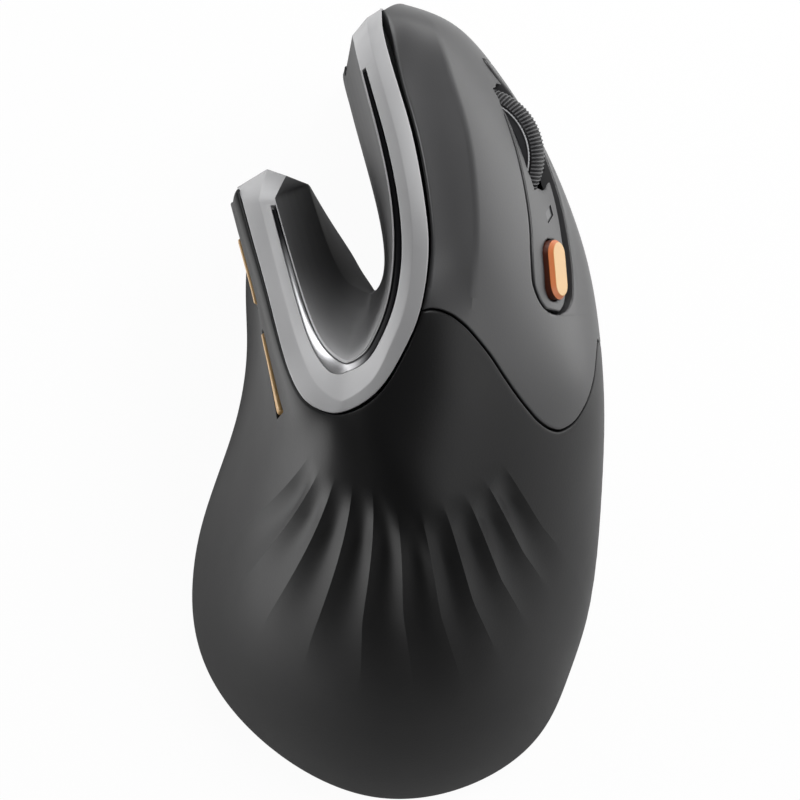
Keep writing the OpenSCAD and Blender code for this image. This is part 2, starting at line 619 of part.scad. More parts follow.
module finger_plate() {
    color("#3a3a3c")
    cover(plate_col_shares, [for (r = all_shares) if (r <= 3) r], panel_wall,
        shift = function(c, r) [
            c == plate_share ? half_seam : c == root_share ? -(r > 1 && r < 2 ? half_key : half_seam) : 0,
            r == 0 ? top_play(c) : r == 3 ? -half_seam : 0]);
}

// Where the island ahead of the strip starts, and which edges of the left key step back from a seam
function island_from(r) = slot_front_share + (r > island_row_share ? island_step_share : 0);
function left_step_back(c, r) =
    c == root_share || (c == slot_front_share && r > 1 && r <= 2) || (c == strip_front_share && r > 2);
module left_key() {
    color("#3a3a3c")
    difference() {
        cover(concat(key_shares, tip_shares), [for (r = all_shares) if (r <= 3) r], panel_wall,
            function(c, r) r < 1 || (r < 2 && c > island_from(r)) || c > strip_front_share,
            function(c, r) [left_step_back(c, r) ? half_seam : c == last_share ? -half_seam : 0,
                r == 0 ? top_play(c) : r == 1 && c < slot_front_share ? -half_seam
                : r == 2 && c < strip_front_share ? -half_key : r == 3 ? -half_seam : 0]);
        wheel_slot();
    }
}

module right_key() {
    color("#3a3a3c")
    difference() {
        cover(key_shares, side_shares, panel_wall,
            shift = function(c, r) [c == root_share ? half_seam : c == strip_front_share ? -half_seam : 0,
                r == 2 ? half_key : r == 3 ? -half_seam : 0]);
        wheel_slot();
    }
}

module centre_strip() {
    color("#3a3a3c")
    difference() {
        cover([for (c = key_shares) if (c <= slot_front_share) c], strip_shares, panel_wall,
            shift = function(c, r) [c == root_share ? half_key : c == slot_front_share ? -half_seam : 0,
                r == 1 ? half_seam : r == 2 ? -half_key : 0]);
        wheel_slot();
        at_dpi() stadium([0, 0, -panel_wall * 2], dpi_l + slot_play, dpi_w + slot_play, panel_wall * 4);
        at_lens() lens_bar(0);
    }
}

// The slot is wider underneath, where the wheel turns behind the panel
module wheel_slot() at_finger() {
    stadium([0, 0, -panel_wall * 3], slot_l, slot_w, panel_wall * 6);
    translate([0, 0, axle_z]) across(-slot_w / 2, wheel_d + 2 * slot_play, slot_w);
}
// The light window is a slanted bar
module lens_bar(play) {
    translate([0, 0, -panel_wall - cut])
    linear_extrude(panel_wall + cut + (play > 0 ? 0 : cut))
    polygon([[play - lens_l / 2, play - lens_w], [lens_l / 2 - play, -lens_w * 0.2 + play],
        [lens_l / 2 - play, lens_w - play], [play - lens_l / 2, lens_w * 0.2 - play]]);
}

module indicator_lens() {
    color("#55585c") at_lens() translate([0, 0, -panel_wall / 8]) lens_bar(axle_play);
}

// Band of the fork trim: from the seam over the ridge to the lip
function into_body(s) = let(d = seam_at(s) - lip_at(s)) unit([d.x, d.y, 0]);
function band_at(s, k) =
    let(a = seam_at(s), b = lip_at(s), kr = lookup(s, ridge_line_share),
        ridge = blend(a, b, kr) + [0, 0, ridge_rise])
    k < kr ? blend(a, ridge, k / kr) : blend(ridge, b, (k - kr) / (1 - kr));
function groove_at(s) = s >= groove_shares[0] && s <= groove_shares[1] ? groove_depth : groove_rest;
function wall_middle(s) =
    let(a = lip_at(s), b = crease_at(s))
    [blend(a.x, b.x, wall_hollow_share[0]), blend(a.y, b.y, wall_hollow_share[0]),
        blend(a.z, b.z, wall_hollow_share[1])];
function trim_outer(s) =
    let(dip = [0, 0, -groove_at(s)], g_in = band_at(s, lookup(s, groove_in_share)),
        g_out = band_at(s, lookup(s, groove_out_share)))
    [foot_at(s), crease_at(s), wall_middle(s), lip_at(s), g_in, g_in + dip, g_out + dip, g_out,
        band_at(s, lookup(s, ridge_line_share)), seam_at(s)];
function trim_inner(s) =
    let(o = trim_outer(s), side = into_body(s) * trim_wall, down = [0, 0, -trim_wall],
        lip = o[3] + side + down, ridge = o[8] + down)
    concat([o[0] + side, o[1] + side, o[2] + side, lip], [for (k = groove_back_share) blend(lip, ridge, k)],
        [ridge, o[9] - facing(s, 0) * trim_wall]);
trim_shares = concat([0, groove_shares[0] - groove_edge_share, groove_shares[0]], trim_middle_shares,
    [groove_shares[1], groove_shares[1] + groove_edge_share, trim_end_share, last_share]);

module fork_trim() {
    color("#6c6e72")
    wall_net([for (s = trim_shares) trim_outer(s)], [for (s = trim_shares) trim_inner(s)]);
}

inlay_shares = concat([groove_shares[0] + groove_edge_share], trim_middle_shares);
module accent_strip() {
    color("#15161a")
    wall_net([for (s = inlay_shares) strip_edge(s, strip_sink)],
        [for (s = inlay_shares) strip_edge(s, groove_depth - strip_play / 2)]);
}
function strip_edge(s, depth) =
    let(a = band_at(s, lookup(s, groove_in_share)), b = band_at(s, lookup(s, groove_out_share)),
        d = unit(b - a))
    [a + d * strip_play - [0, 0, depth], b - d * strip_play - [0, 0, depth]];

// Noses: a faceted cap between the end of a cover and the end of the fork's inner wall
nose_down_shares = ticks(0, 1, 10);
nose_over_shares = ticks(0, 1, 8);
function nose_cover(s, k, play) = skin(s, k, 1) - inward(s, k) * (shell_wall + play);
function nose_wall(s, k, play) =
    let(side = into_body(s) * (trim_wall + play), down = [0, 0, -trim_wall - play],
        a = lip_at(s) + side + down, b = crease_at(s) + side, c = foot_at(s) + side)
    k < nose_turn_share ? blend(a, b, k / nose_turn_share)
    : blend(b, c, (k - nose_turn_share) / (1 - nose_turn_share));
function nose_swell(k) = k < nose_turn_share ? sin(90 * k / nose_turn_share)
    : blend(1, nose_foot_share, (k - nose_turn_share) / (1 - nose_turn_share));
function nose_tent(w, peak) = w < peak ? w / peak : (1 - w) / (1 - peak);
function nose_at(a, b, w, k, peak, reach) =
    blend(a, b, w) + [0, nose_swell(k) * reach, ridge_rise * (1 - k) * (1 - k)] * nose_tent(w, peak);

module nose(s, from_cover, play, reach) {
    rows = [for (i = [len(nose_down_shares) - 1:-1:0]) nose_down_shares[i]];
    peak = from_cover ? nose_peak_share : 1 - nose_peak_share;
    front = [for (w = nose_over_shares) [for (k = rows)
        let(a = nose_cover(s, k, play), b = nose_wall(s, k, seam_gap))
        from_cover ? nose_at(a, b, w, k, peak, reach) : nose_at(b, a, w, k, peak, reach)]];
    back = [for (col = front) [for (j = [0:len(col) - 1])
        let(k = rows[j]) col[j] - [0, trim_wall * ease(k * 3), trim_wall * (1 - k) * (1 - k)]]];
    wall_net(front, back);
}

module thumb_nose() {
    color("#6c6e72") nose(0, true, 2 * seam_gap, thumb_nose_reach);
}

module finger_nose() {
    color("#6c6e72")
    difference() {
        nose(last_share, false, key_gap, finger_nose_reach);
        stand_block(port_at - [0, 0, port_play],
            [port_h + 2 * port_play, port_l * 4, port_w + 2 * port_play]);
    }
}

module base_plate() {
    color("#1b1b1d")
    difference() {
        union() {
            translate([0, 0, foot_t]) linear_extrude(base_t) polygon(base_outline);
            for (p = pcb_corners) peg([p.x, p.y, base_top], post_d, pcb_z - base_top);
        }
        for (p = screw_at) {
            peg([p.x, p.y, 0], screw_d + 2 * screw_play, base_top + cut);
            peg([p.x, p.y, foot_t - cut], screw_head_d, screw_head_h + cut);
        }
        for (p = pcb_corners) peg([p.x, p.y, base_top - base_t / 3], screw_d, pcb_z);
        stand_block([sensor_at.x, sensor_at.y, 0], [window_size.x, window_size.y, base_top + cut]);
        stand_block([bay_at.x, bay_at.y, 0],
            [receiver_size.x + 2 * bay_play, receiver_size.y + 2 * bay_play, base_top + cut]);
        stand_block([switch_at.x, switch_at.y, 0], [power_slot.x, power_slot.y, base_top + cut]);
        peg([pair_at.x, pair_at.y, 0], pair_d + 2 * pair_play, base_top + cut);
    }
}

module glide_feet() {
    color("#e8e8e8")
    for (i = [0:len(foot_turns) - 1]) let(p = spot_at(foot_spots_share[i])) translate([p.x, p.y, 0])
        rotate([0, 0, foot_turns[i]]) stadium([0, 0, 0], foot_length, foot_w, foot_t);
}

module screw_posts() {
    color("#1b1b1d")
    for (i = [0:len(screw_at) - 1]) difference() {
        peg([screw_at[i].x, screw_at[i].y, base_top], post_d, post_top_share[i] * body_h - base_top);
        peg([screw_at[i].x, screw_at[i].y, base_top - cut], screw_d, screw_bite + cut);
    }
}
module assembly_screws() {
    color("#9a9a9a") {
        for (p = screw_at) screw([p.x, p.y, foot_t + screw_head_h],
            base_t - screw_head_h + screw_bite - screw_tip_gap);
        for (p = pcb_corners) translate([p.x, p.y, pcb_z + board_t]) mirror([0, 0, 1])
            screw([0, 0, 0], board_t + pcb_z - base_top - screw_tip_gap);
    }
}
// A screw whose head lies under p and whose shank rises l from it
module screw(p, l) {
    d = screw_d - 2 * axle_play;
    translate(p) {
        translate([0, 0, -screw_head_h]) cylinder(d = screw_head_d - 2 * screw_play, h = screw_head_h);
        cylinder(d = d, h = l);
    }
}

module sensor_lens() {
    color("#c8d4dc")
    union() {
        stand_block([sensor_at.x, sensor_at.y, base_top],
            [window_size.x * 1.6, window_size.y * 1.4, sensor_lens_t]);
        peg([sensor_at.x, sensor_at.y, foot_t + base_t / 3], window_size.x * 0.7, base_t);
    }
}

module optical_sensor() {
    color("#202020")
    stand_block([sensor_at.x, sensor_at.y, base_top + sensor_lens_t],
        [window_size.x * 1.4, window_size.y, pcb_z - base_top - sensor_lens_t]);
}

module main_pcb() {
    color("#1f5a34")
    difference() {
        stand_block([pcb_at.x, pcb_at.y, pcb_z], [pcb_size.x, pcb_size.y, board_t]);
        for (p = pcb_corners) peg([p.x, p.y, pcb_z - cut], screw_d + 2 * screw_play, board_t + 2 * cut);
    }
}

// Board under the keys, with a window for the wheel
module finger_pcb() {
    color("#1f5a34")
    at_finger() translate([0, 0, board_z - board_t])
    difference() {
        linear_extrude(board_t)
        polygon([[board_step.x, board_y[0]], [board_x[1], board_y[0]], [board_x[1], board_notch.y],
            [board_notch.x, board_y[1]],
            [board_x[0], board_y[1]], [board_x[0], board_step.y], [board_step.x, board_step.y]]);
        block([-board_cut_x, board_cut_y[0], -cut],
            [2 * board_cut_x, board_cut_y[1] - board_cut_y[0], board_t + 2 * cut]);
    }
}

module finger_pcb_stand() {
    color("#1b1b1d")
    difference() {
        union() {
            for (p = stand_spots) stand_block([p.x, p.y, base_top], [stand_w, stand_w, body_h / 2]);
            let(p = (stand_spots[0] + stand_spots[1]) / 2)
                stand_block([p.x, p.y, base_top], [stand_w * 2.5, stand_w * 1.5, stand_w]);
        }
        at_finger() block([-body_w, -body_w, board_z - board_t], [2 * body_w, 2 * body_w, body_w]);
    }
}

module thumb_pcb() {
    color("#1f5a34")
    at_thumb() block([thumb_board_at.x, thumb_board_at.y, thumb_board_z - board_t],
        [thumb_board.x, thumb_board.y, board_t]);
}

module thumb_pcb_stand() {
    color("#1b1b1d")
    difference() {
        stand_block([thumb_stand_at.x, thumb_stand_at.y, base_top], [stand_w / 2, stand_w, body_h / 2]);
        at_thumb() block([thumb_board_at.x + thumb_board.x + stand_drop - body_w, -body_w, -body_w],
            [body_w, 2 * body_w, 2 * body_w]);
    }
}

module link_ribbons() {
    color("#c9a24a") {
        ribbon([ribbon_x[0], ribbon_y, pcb_z + board_t], from_finger(finger_ribbon_end));
        ribbon([ribbon_x[1], ribbon_y, pcb_z + board_t], from_thumb(thumb_ribbon_end));
    }
}
// A flat ribbon between two places
module ribbon(p, q) {
    hull() {
        stand_block(p, [ribbon_w, ribbon_t, ribbon_t]);
        stand_block(q, [ribbon_w / 2, ribbon_t, ribbon_t]);
    }
}

module battery() {
    color("#b8bcc2") stand_block([battery_at.x, battery_at.y, battery_z], battery_size);
}

module battery_frame() {
    cell_room = [battery_size.x + 2 * bay_play, battery_size.y + 2 * bay_play];
    color("#1b1b1d")
    difference() {
        union() {
            stand_block([battery_at.x, battery_at.y, battery_z - frame_wall],
                [cell_room.x + 2 * frame_wall, cell_room.y + 2 * frame_wall,
                    frame_wall + battery_size.z / 2]);
            for (x = [-1, 1]) for (y = [-1, 1])
                translate([x * battery_size.x / 3, y * battery_size.y / 3, 0])
                stand_block([battery_at.x, battery_at.y, pcb_z + board_t],
                    [frame_wall * 2, frame_wall * 2, battery_z - pcb_z - board_t]);
        }
        stand_block([battery_at.x, battery_at.y, battery_z],
            [cell_room.x, cell_room.y, battery_size.z]);
    }
}

// A micro switch standing on the finger board, with the hole that its plunger slides in
module micro_switch(at) {
    at_finger() difference() {
        stand_block([at.x, at.y, board_z], [switch_w, switch_l, switch_h]);
        peg([at.x, at.y + plunger_reach, board_z + switch_h / 2], plunger_d + 2 * plunger_play, switch_h);
    }
}
module micro_plunger(at, top) {
    low = board_z + switch_h / 2 + plunger_stroke;
    at_finger() peg([at.x, at.y + plunger_reach, low], plunger_d, top - low);
}
module tact(at) {
    difference() {
        stand_block(at, [tact_w, tact_w, tact_h]);
        peg([at.x, at.y, at.z + tact_h / 3], plunger_d + 2 * plunger_play, tact_h);
    }
}
module tact_plunger(at, top) {
    low = at.z + tact_h / 3 + tact_stroke;
    peg([at.x, at.y, low], plunger_d, top - low);
}

module left_switch() { color("#2b2b2b") micro_switch(left_switch_at); }
module right_switch() { color("#2b2b2b") micro_switch(right_switch_at); }
module left_plunger() { color("#d8d8d8") micro_plunger(left_switch_at, left_plunger_top); }
module right_plunger() { color("#d8d8d8") micro_plunger(right_switch_at, right_plunger_top); }
module middle_switch() {
    color("#2b2b2b") at_finger() tact([middle_switch_at.x, middle_switch_at.y, board_z]);
}
module middle_plunger() {
    color("#d8d8d8") at_finger()
        tact_plunger([middle_switch_at.x, middle_switch_at.y, board_z], bar_bottom - press_gap);
}
module dpi_switch() { color("#2b2b2b") at_finger() tact([dpi_switch_at.x, dpi_switch_at.y, board_z]); }
module dpi_plunger() {
    color("#d8d8d8") at_finger() tact_plunger([dpi_switch_at.x, dpi_switch_at.y, board_z], dpi_plunger_top);
}
module side_switch(i) { at_thumb() tact([pad_ends[i].x, pad_ends[i].y, thumb_board_z]); }
module side_plunger(i) {
    top = pad_ends[i].z - press_gap - pad_slope_gap;
    at_thumb() tact_plunger([pad_ends[i].x, pad_ends[i].y, thumb_board_z], top);
}
module forward_switch() { color("#2b2b2b") side_switch(0); }
module back_switch() { color("#2b2b2b") side_switch(1); }
module forward_plunger() { color("#d8d8d8") side_plunger(0); }
module back_plunger() { color("#d8d8d8") side_plunger(1); }

// Wheel, its axle and the cradle that tilts with it
module across(x, d, l) translate([x, 0, 0]) rotate([0, 90, 0]) cylinder(d = d, h = l);

module wheel_bracket() {
    color("#2b2b2b") at_finger()
    difference() {
        union() {
            for (x = [-ear_x - ear_t, ear_x])
                block([x, pivot_y - ear_l / 2, board_z], [ear_t, ear_l, pivot_z + ear_rise - board_z]);
            block([-ear_x - ear_t, pivot_y - tie_back, board_z], [2 * (ear_x + ear_t), tie_l, tie_t]);
        }
        translate([0, pivot_y, pivot_z]) across(-ear_x - ear_t - cut, pivot_d, 2 * (ear_x + ear_t + cut));
    }
}
module cradle_pin() {
    color("#b8bcc2") at_finger() translate([0, pivot_y, pivot_z])
        across(-ear_x - ear_t, pivot_d, 2 * (ear_x + ear_t));
}
module wheel_cradle() {
    color("#3c3f44") at_finger()
    difference() {
        union() {
            for (x = [-arm_x - arm_t, arm_x]) {
                block([x, arm_back, arm_bottom], [arm_t, pivot_y - arm_back, arm_top - arm_bottom]);
                translate([0, 0, axle_z]) across(x, 2 * boss_r, arm_t);
                translate([0, pivot_y, pivot_z]) across(x, arm_top - arm_bottom - 2 * eye_inset, arm_t);
            }
            block([-arm_x - arm_t, arm_back, bar_bottom],
                [arm_x + arm_t + middle_switch_at.x + bar_reach, bar_l, bar_top - bar_bottom]);
        }
        translate([0, 0, axle_z])
            across(-arm_x - arm_t - cut, axle_d + 2 * axle_play, 2 * (arm_x + arm_t + cut));
        translate([0, pivot_y, pivot_z])
            across(-arm_x - arm_t - cut, pivot_d + 2 * pivot_play, 2 * (arm_x + arm_t + cut));
    }
}
module encoder() {
    color("#24456b") at_finger()
    difference() {
        block([-arm_x - arm_t - encoder_t, -encoder_w * 0.75, board_z + encoder_rise],
            [encoder_t, encoder_w, encoder_h]);
        translate([0, 0, axle_z])
            across(-arm_x - arm_t - encoder_t - cut, axle_d + 2 * axle_play, encoder_t + 2 * cut);
    }
}
module ring(outer_r, inner_r, x, w) {
    translate([0, 0, axle_z]) translate([x, 0, 0]) rotate([0, 90, 0])
    rotate_extrude($fn = 90) translate([inner_r, 0]) square([outer_r - inner_r, w]);
}
module wheel_hub() {
    color("#2a2b2e") at_finger() ring(hub_r, axle_d / 2, -hub_w / 2, hub_w);
}
module wheel_tyre() {
    color("#0c0c0d") at_finger() translate([0, 0, axle_z]) rotate([0, 90, 0])
    rotate_extrude($fn = 90)
    polygon([[hub_r, -hub_w / 2], [wheel_r - crown, -hub_w / 2], [wheel_r, -hub_w / 4], [wheel_r, hub_w / 4],
        [wheel_r - crown, hub_w / 2], [hub_r, hub_w / 2]]);
}
module wheel_rims() {
    color("#b9bbc0") at_finger() for (x = [-wheel_w / 2, hub_w / 2])
        ring(wheel_r - crown - rim_lip, hub_r / 2, x, rim_w);
}
module wheel_axle() {
    color("#b8bcc2") at_finger() translate([0, 0, axle_z])
        across(-arm_x - arm_t - encoder_t, axle_d, 2 * arm_x + 2 * arm_t + encoder_t + axle_end);
}

module dpi_button() {
    color("#d98a3c") at_dpi() union() {
        stadium([0, 0, -dpi_body_h], dpi_l, dpi_w, dpi_body_h + dpi_proud);
        peg([0, 0, dpi_stem_end], dpi_stem_d, -dpi_stem_end - dpi_body_h / 2);
    }
}

module side_pad(i) {
    s = side_pad_shares[i];
    cover(ticks(s[0], s[1], pad_steps), strip_shares, side_pad_t,
        shift = function(c, r) [(c == s[0] ? 1 : c == s[1] ? -1 : 0) * pad_side_gap,
            (r == 1 ? 1 : r == 2 ? -1 : 0) * pad_end_gap], lift = side_proud);
}
module forward_button() { color("#d98a3c") side_pad(0); }
module back_button() { color("#d98a3c") side_pad(1); }

module usb_c_port() {
    color("#b8bcc2")
    difference() {
        stand_block(port_at, [port_h, port_l, port_w]);
        stand_block(port_at + [0, port_wall, port_wall],
            [port_h - 2 * port_wall, port_l, port_w - 2 * port_wall]);
        stand_block(port_at + [0, port_l, port_wall],
            [port_h - 2 * port_wall, port_l * 1.9, port_w - 2 * port_wall]);
    }
    color("#2b2b2b") stand_block(port_at + [0, -port_wall * 2, port_w * 0.2],
        [port_h * 0.22, port_l - port_wall * 4, port_w * 0.6]);
}

module usb_pcb() {
    color("#1f5a34")
    block([port_at.x + port_h / 2, port_at.y - port_board.y, base_top], port_board);
}

module power_switch() {
    color("#2b2b2b")
    difference() {
        stand_block([switch_at.x, switch_at.y, pcb_z - switch_size.z], switch_size);
        stand_block([switch_at.x, switch_at.y, pcb_z - switch_size.z - cut],
            [knob_size.x + 2 * knob_play, 2 * knob_stroke + knob_size.y + 2 * knob_play,
            cut + switch_size.z / 2]);
    }
}
module power_knob() {
    color("#d8d8d8")
    stand_block([switch_at.x, switch_at.y, foot_t + knob_sink],
        [knob_size.x, knob_size.y, pcb_z - switch_size.z / 2 - foot_t - 2 * knob_sink]);
}
module pairing_switch() {
    color("#2b2b2b") stand_block([pair_at.x, pair_at.y, pcb_z - tact_h], [tact_w, tact_w, tact_h]);
}
module pairing_button() {
    color("#d8d8d8") union() {
        peg([pair_at.x, pair_at.y, foot_t + pair_sink], pair_d, base_t - 2 * pair_sink);
        peg([pair_at.x, pair_at.y, foot_t + base_t / 2], pair_d / 2,
            pcb_z - tact_h - press_gap - pair_slack - foot_t - base_t / 2);
    }
}

module receiver_bay() {
    color("#1b1b1d")
    difference() {
        stand_block([bay_at.x, bay_at.y, base_top],
            [receiver_size.x + 2 * bay_play + 2 * bay_wall, receiver_size.y + 2 * bay_play + 2 * bay_wall,
            receiver_size.z + foot_t + bay_wall + bay_roof_gap - base_top]);
        stand_block([bay_at.x, bay_at.y, base_top - cut],
            [receiver_size.x + 2 * bay_play, receiver_size.y + 2 * bay_play,
            receiver_size.z + foot_t + bay_roof_gap - base_top + cut]);
    }
}
module nano_receiver() {
    color("#202022")
    stand_block([bay_at.x, bay_at.y, foot_t + receiver_sink], receiver_size);
}

main_shell();
finger_plate();
left_key();
right_key();
centre_strip();
indicator_lens();
fork_trim();
accent_strip();
thumb_nose();
finger_nose();
base_plate();
glide_feet();
screw_posts();
assembly_screws();
sensor_lens();
optical_sensor();
main_pcb();
finger_pcb();
finger_pcb_stand();
thumb_pcb();
thumb_pcb_stand();
link_ribbons();
battery();
battery_frame();
left_switch();
right_switch();
middle_switch();
left_plunger();
right_plunger();
middle_plunger();
dpi_switch();
dpi_plunger();
forward_switch();
forward_plunger();
back_switch();
back_plunger();
wheel_bracket();
wheel_cradle();
cradle_pin();
wheel_hub();
wheel_tyre();
wheel_rims();
wheel_axle();
encoder();
dpi_button();
forward_button();
back_button();
usb_c_port();
usb_pcb();
power_switch();
power_knob();
pairing_switch();
pairing_button();
receiver_bay();
nano_receiver();
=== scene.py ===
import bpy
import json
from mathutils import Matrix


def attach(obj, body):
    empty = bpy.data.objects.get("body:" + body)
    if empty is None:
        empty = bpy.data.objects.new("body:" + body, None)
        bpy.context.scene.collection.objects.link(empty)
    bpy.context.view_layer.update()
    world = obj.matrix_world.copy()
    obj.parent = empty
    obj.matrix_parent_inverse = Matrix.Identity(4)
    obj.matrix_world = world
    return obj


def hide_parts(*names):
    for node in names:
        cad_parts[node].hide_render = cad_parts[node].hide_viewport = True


bl_info = {
    "name": "Forked upright mouse",
    "version": (1, 0, 0),
    "blender": (4, 5, 0),
    "location": "3D View > Sidebar > Upright mouse",
    "description": "Dresses the packed upright mouse with its covers, trim, wheel, buttons and finishes",
    "category": "Object",
}

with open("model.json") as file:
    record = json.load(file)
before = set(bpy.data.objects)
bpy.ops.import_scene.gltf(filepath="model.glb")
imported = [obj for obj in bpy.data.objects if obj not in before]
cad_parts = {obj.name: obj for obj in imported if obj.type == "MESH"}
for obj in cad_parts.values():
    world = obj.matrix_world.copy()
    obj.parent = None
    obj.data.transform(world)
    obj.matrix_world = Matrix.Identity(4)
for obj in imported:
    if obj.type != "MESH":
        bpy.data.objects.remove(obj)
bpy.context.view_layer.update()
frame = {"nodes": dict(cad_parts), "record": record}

import json
import math

import bmesh
import bpy
import numpy as np
from mathutils import Matrix, Vector, kdtree

HOUSING = "housing"

# Sizes of the body in millimetres, as in the part's own source.
BODY_W, BODY_L, BODY_H = 65.4, 123.6, 66.0
SHELL_WALL, PANEL_WALL, PAD_WALL = 2.0, 1.8, 1.6
SEAM_GAP, KEY_GAP = 0.38, 1.0
GROOVE_DEPTH, RIDGE_RISE = 0.9, 0.8
WHEEL_R, WHEEL_W, WHEEL_PROUD, TYRE_T = 10.5, 6.6, 2.6, 2.0
SLOT_PLAY, SLOT_L = 0.5, 17.6
# How much wider the gap is beside the strip, and how far the right key stands up there.
STRIP_SHADOW, STRIP_STEP = 0.8, 0.3
DPI_L, DPI_W, DPI_BODY = 9.0, 4.8, 2.2
BUTTON_GAP = 0.35
# Millimetres in one station and from the seam to the skirt, near enough to turn gaps into shares.
STATION_RUN, DOWN_RUN = BODY_L * 0.09, BODY_W * 0.8
# Height of the finishes' grain in metres.
GRAIN_RISE = 0.00005

# Stations round the fork, from the thumb prong's tip to the finger prong's tip, as shares of the
# width, the length and the height.
SEAM_SHARE = [
    [0.143, 0.761, 0.583], [0.173, 0.705, 0.636], [0.202, 0.652, 0.689], [0.231, 0.594, 0.742],
    [0.257, 0.550, 0.788], [0.290, 0.518, 0.826], [0.329, 0.504, 0.848], [0.361, 0.500, 0.864],
    [0.390, 0.503, 0.879], [0.422, 0.511, 0.898], [0.458, 0.526, 0.917], [0.490, 0.548, 0.932],
    [0.519, 0.576, 0.947], [0.553, 0.619, 0.967], [0.572, 0.679, 0.985], [0.568, 0.738, 0.992],
    [0.540, 0.823, 0.985], [0.503, 0.893, 0.955], [0.473, 0.952, 0.909], [0.469, 0.982, 0.864]]
SHOULDER_SHARE = [
    [0.093, 0.759, 0.561], [0.123, 0.701, 0.614], [0.155, 0.646, 0.667], [0.187, 0.586, 0.720],
    [0.218, 0.535, 0.765], [0.251, 0.491, 0.803], [0.301, 0.456, 0.818], [0.367, 0.420, 0.864],
    [0.460, 0.409, 0.909], [0.555, 0.397, 0.932], [0.633, 0.421, 0.924], [0.667, 0.468, 0.924],
    [0.689, 0.522, 0.932], [0.694, 0.593, 0.939], [0.687, 0.672, 0.952], [0.678, 0.741, 0.955],
    [0.662, 0.831, 0.947], [0.627, 0.906, 0.909], [0.596, 0.971, 0.848], [0.505, 1.001, 0.788]]
FLANK_SHARE = [
    [0.178, 0.750, 0.212], [0.188, 0.696, 0.212], [0.203, 0.640, 0.227], [0.198, 0.574, 0.242],
    [0.175, 0.501, 0.242], [0.127, 0.427, 0.242], [0.085, 0.333, 0.273], [0.140, 0.180, 0.364],
    [0.430, 0.116, 0.455], [0.698, 0.128, 0.455], [0.887, 0.242, 0.424], [1.003, 0.354, 0.455],
    [1.077, 0.459, 0.470], [1.080, 0.558, 0.500], [1.049, 0.659, 0.530], [0.997, 0.750, 0.545],
    [0.908, 0.846, 0.553], [0.808, 0.927, 0.545], [0.692, 0.986, 0.500], [0.547, 1.009, 0.424]]
# The skirt and the foot stand on the base, at this share of the height.
BASE_SHARE = 0.061
SKIRT_SHARE = [
    [0.150, 0.763], [0.137, 0.704], [0.133, 0.642], [0.135, 0.572], [0.108, 0.487], [0.050, 0.396], [0.004, 0.284],
    [0.081, 0.130], [0.432, 0.005], [0.787, 0.051], [0.919, 0.158], [0.977, 0.269], [0.977, 0.392], [0.958, 0.511],
    [0.926, 0.632], [0.875, 0.722], [0.802, 0.812], [0.700, 0.881], [0.597, 0.930], [0.500, 0.951]]
# How strongly the shoulder and the flank pull the skin at each station.
SHOULDER_PULL = [3, 2.5, 2.5, 2.2, 2, 1.6, 1.3, 1.2, 1.2, 1.2, 1.2, 1.2, 1.4, 2, 3, 3.5, 3.5, 3.5, 3, 2]
FLANK_PULL = [1.5, 1.5, 1.5, 1.3, 1.2, 1.1, 1.1, 1.1, 1.1, 1.1, 1.1, 1.1, 1.3, 2, 2.8, 3.2, 3.2, 3.2, 2.6, 1.6]
# The fork's inner side, at evenly spaced stations: the lip, the wall's crease and its foot.
LIP_SHARE = [
    [0.220, 0.763, 0.606], [0.273, 0.668, 0.674], [0.327, 0.593, 0.758], [0.376, 0.566, 0.818],
    [0.396, 0.564, 0.841], [0.422, 0.572, 0.864], [0.449, 0.593, 0.894], [0.485, 0.652, 0.939],
    [0.485, 0.759, 0.970], [0.433, 0.882, 0.932], [0.401, 0.952, 0.848]]
CREASE_SHARE = [
    [0.294, 0.784, 0.455], [0.336, 0.715, 0.439], [0.376, 0.670, 0.424], [0.404, 0.657, 0.409],
    [0.422, 0.652, 0.409], [0.437, 0.649, 0.409], [0.451, 0.651, 0.439], [0.475, 0.679, 0.500],
    [0.456, 0.762, 0.545], [0.387, 0.889, 0.576], [0.383, 0.914, 0.636]]
FOOT_SHARE = [
    [0.291, 0.791], [0.339, 0.748], [0.388, 0.708], [0.412, 0.686], [0.429, 0.672], [0.444, 0.660], [0.454, 0.659],
    [0.471, 0.688], [0.449, 0.773], [0.383, 0.905], [0.391, 0.933]]

# Panel lines as (station, share of the way down the skin), and the seam of the finger panel.
HIGH_LINE = [(0, 0.24), (5, 0.24), (11, 0.42), (12.5, 0.46), (13.35, 0.497), (13.5, 0.49), (13.56, 0.46),
    (13.68, 0.434), (13.9, 0.416), (14.3, 0.425), (14.8, 0.449), (15.4, 0.473), (16, 0.492), (16.7, 0.515),
    (17.25, 0.545), (19, 0.55)]
LOW_LINE = [(0, 0.4), (2.75, 0.4), (4.75, 0.34), (6, 0.36), (11, 0.56), (12.5, 0.57), (13.35, 0.515), (13.5, 0.52),
    (13.56, 0.55), (13.68, 0.58), (13.95, 0.608), (14.65, 0.645), (15.45, 0.683), (16, 0.69), (16.6, 0.665),
    (17.25, 0.575), (19, 0.57)]
BAND_LINE = [(0, 0.7), (8, 0.75), (12, 0.84), (13.4, 0.87), (19, 0.85)]
# The key's long crease, its grid row, its hollow and the stations where it comes and goes.
CREASE_LINE = [(0, 0.1), (6, 0.1), (11, 0.165), (12.4, 0.16), (13.14, 0.149), (13.79, 0.145), (14.51, 0.154),
    (15.17, 0.17), (15.97, 0.189), (17.07, 0.206), (17.62, 0.22), (18.1, 0.24), (19, 0.25)]
CREASE_R, CREASE_HOLLOW, CREASE_S = 0.4, 0.3, (12.9, 13.9, 16.6, 18.6)
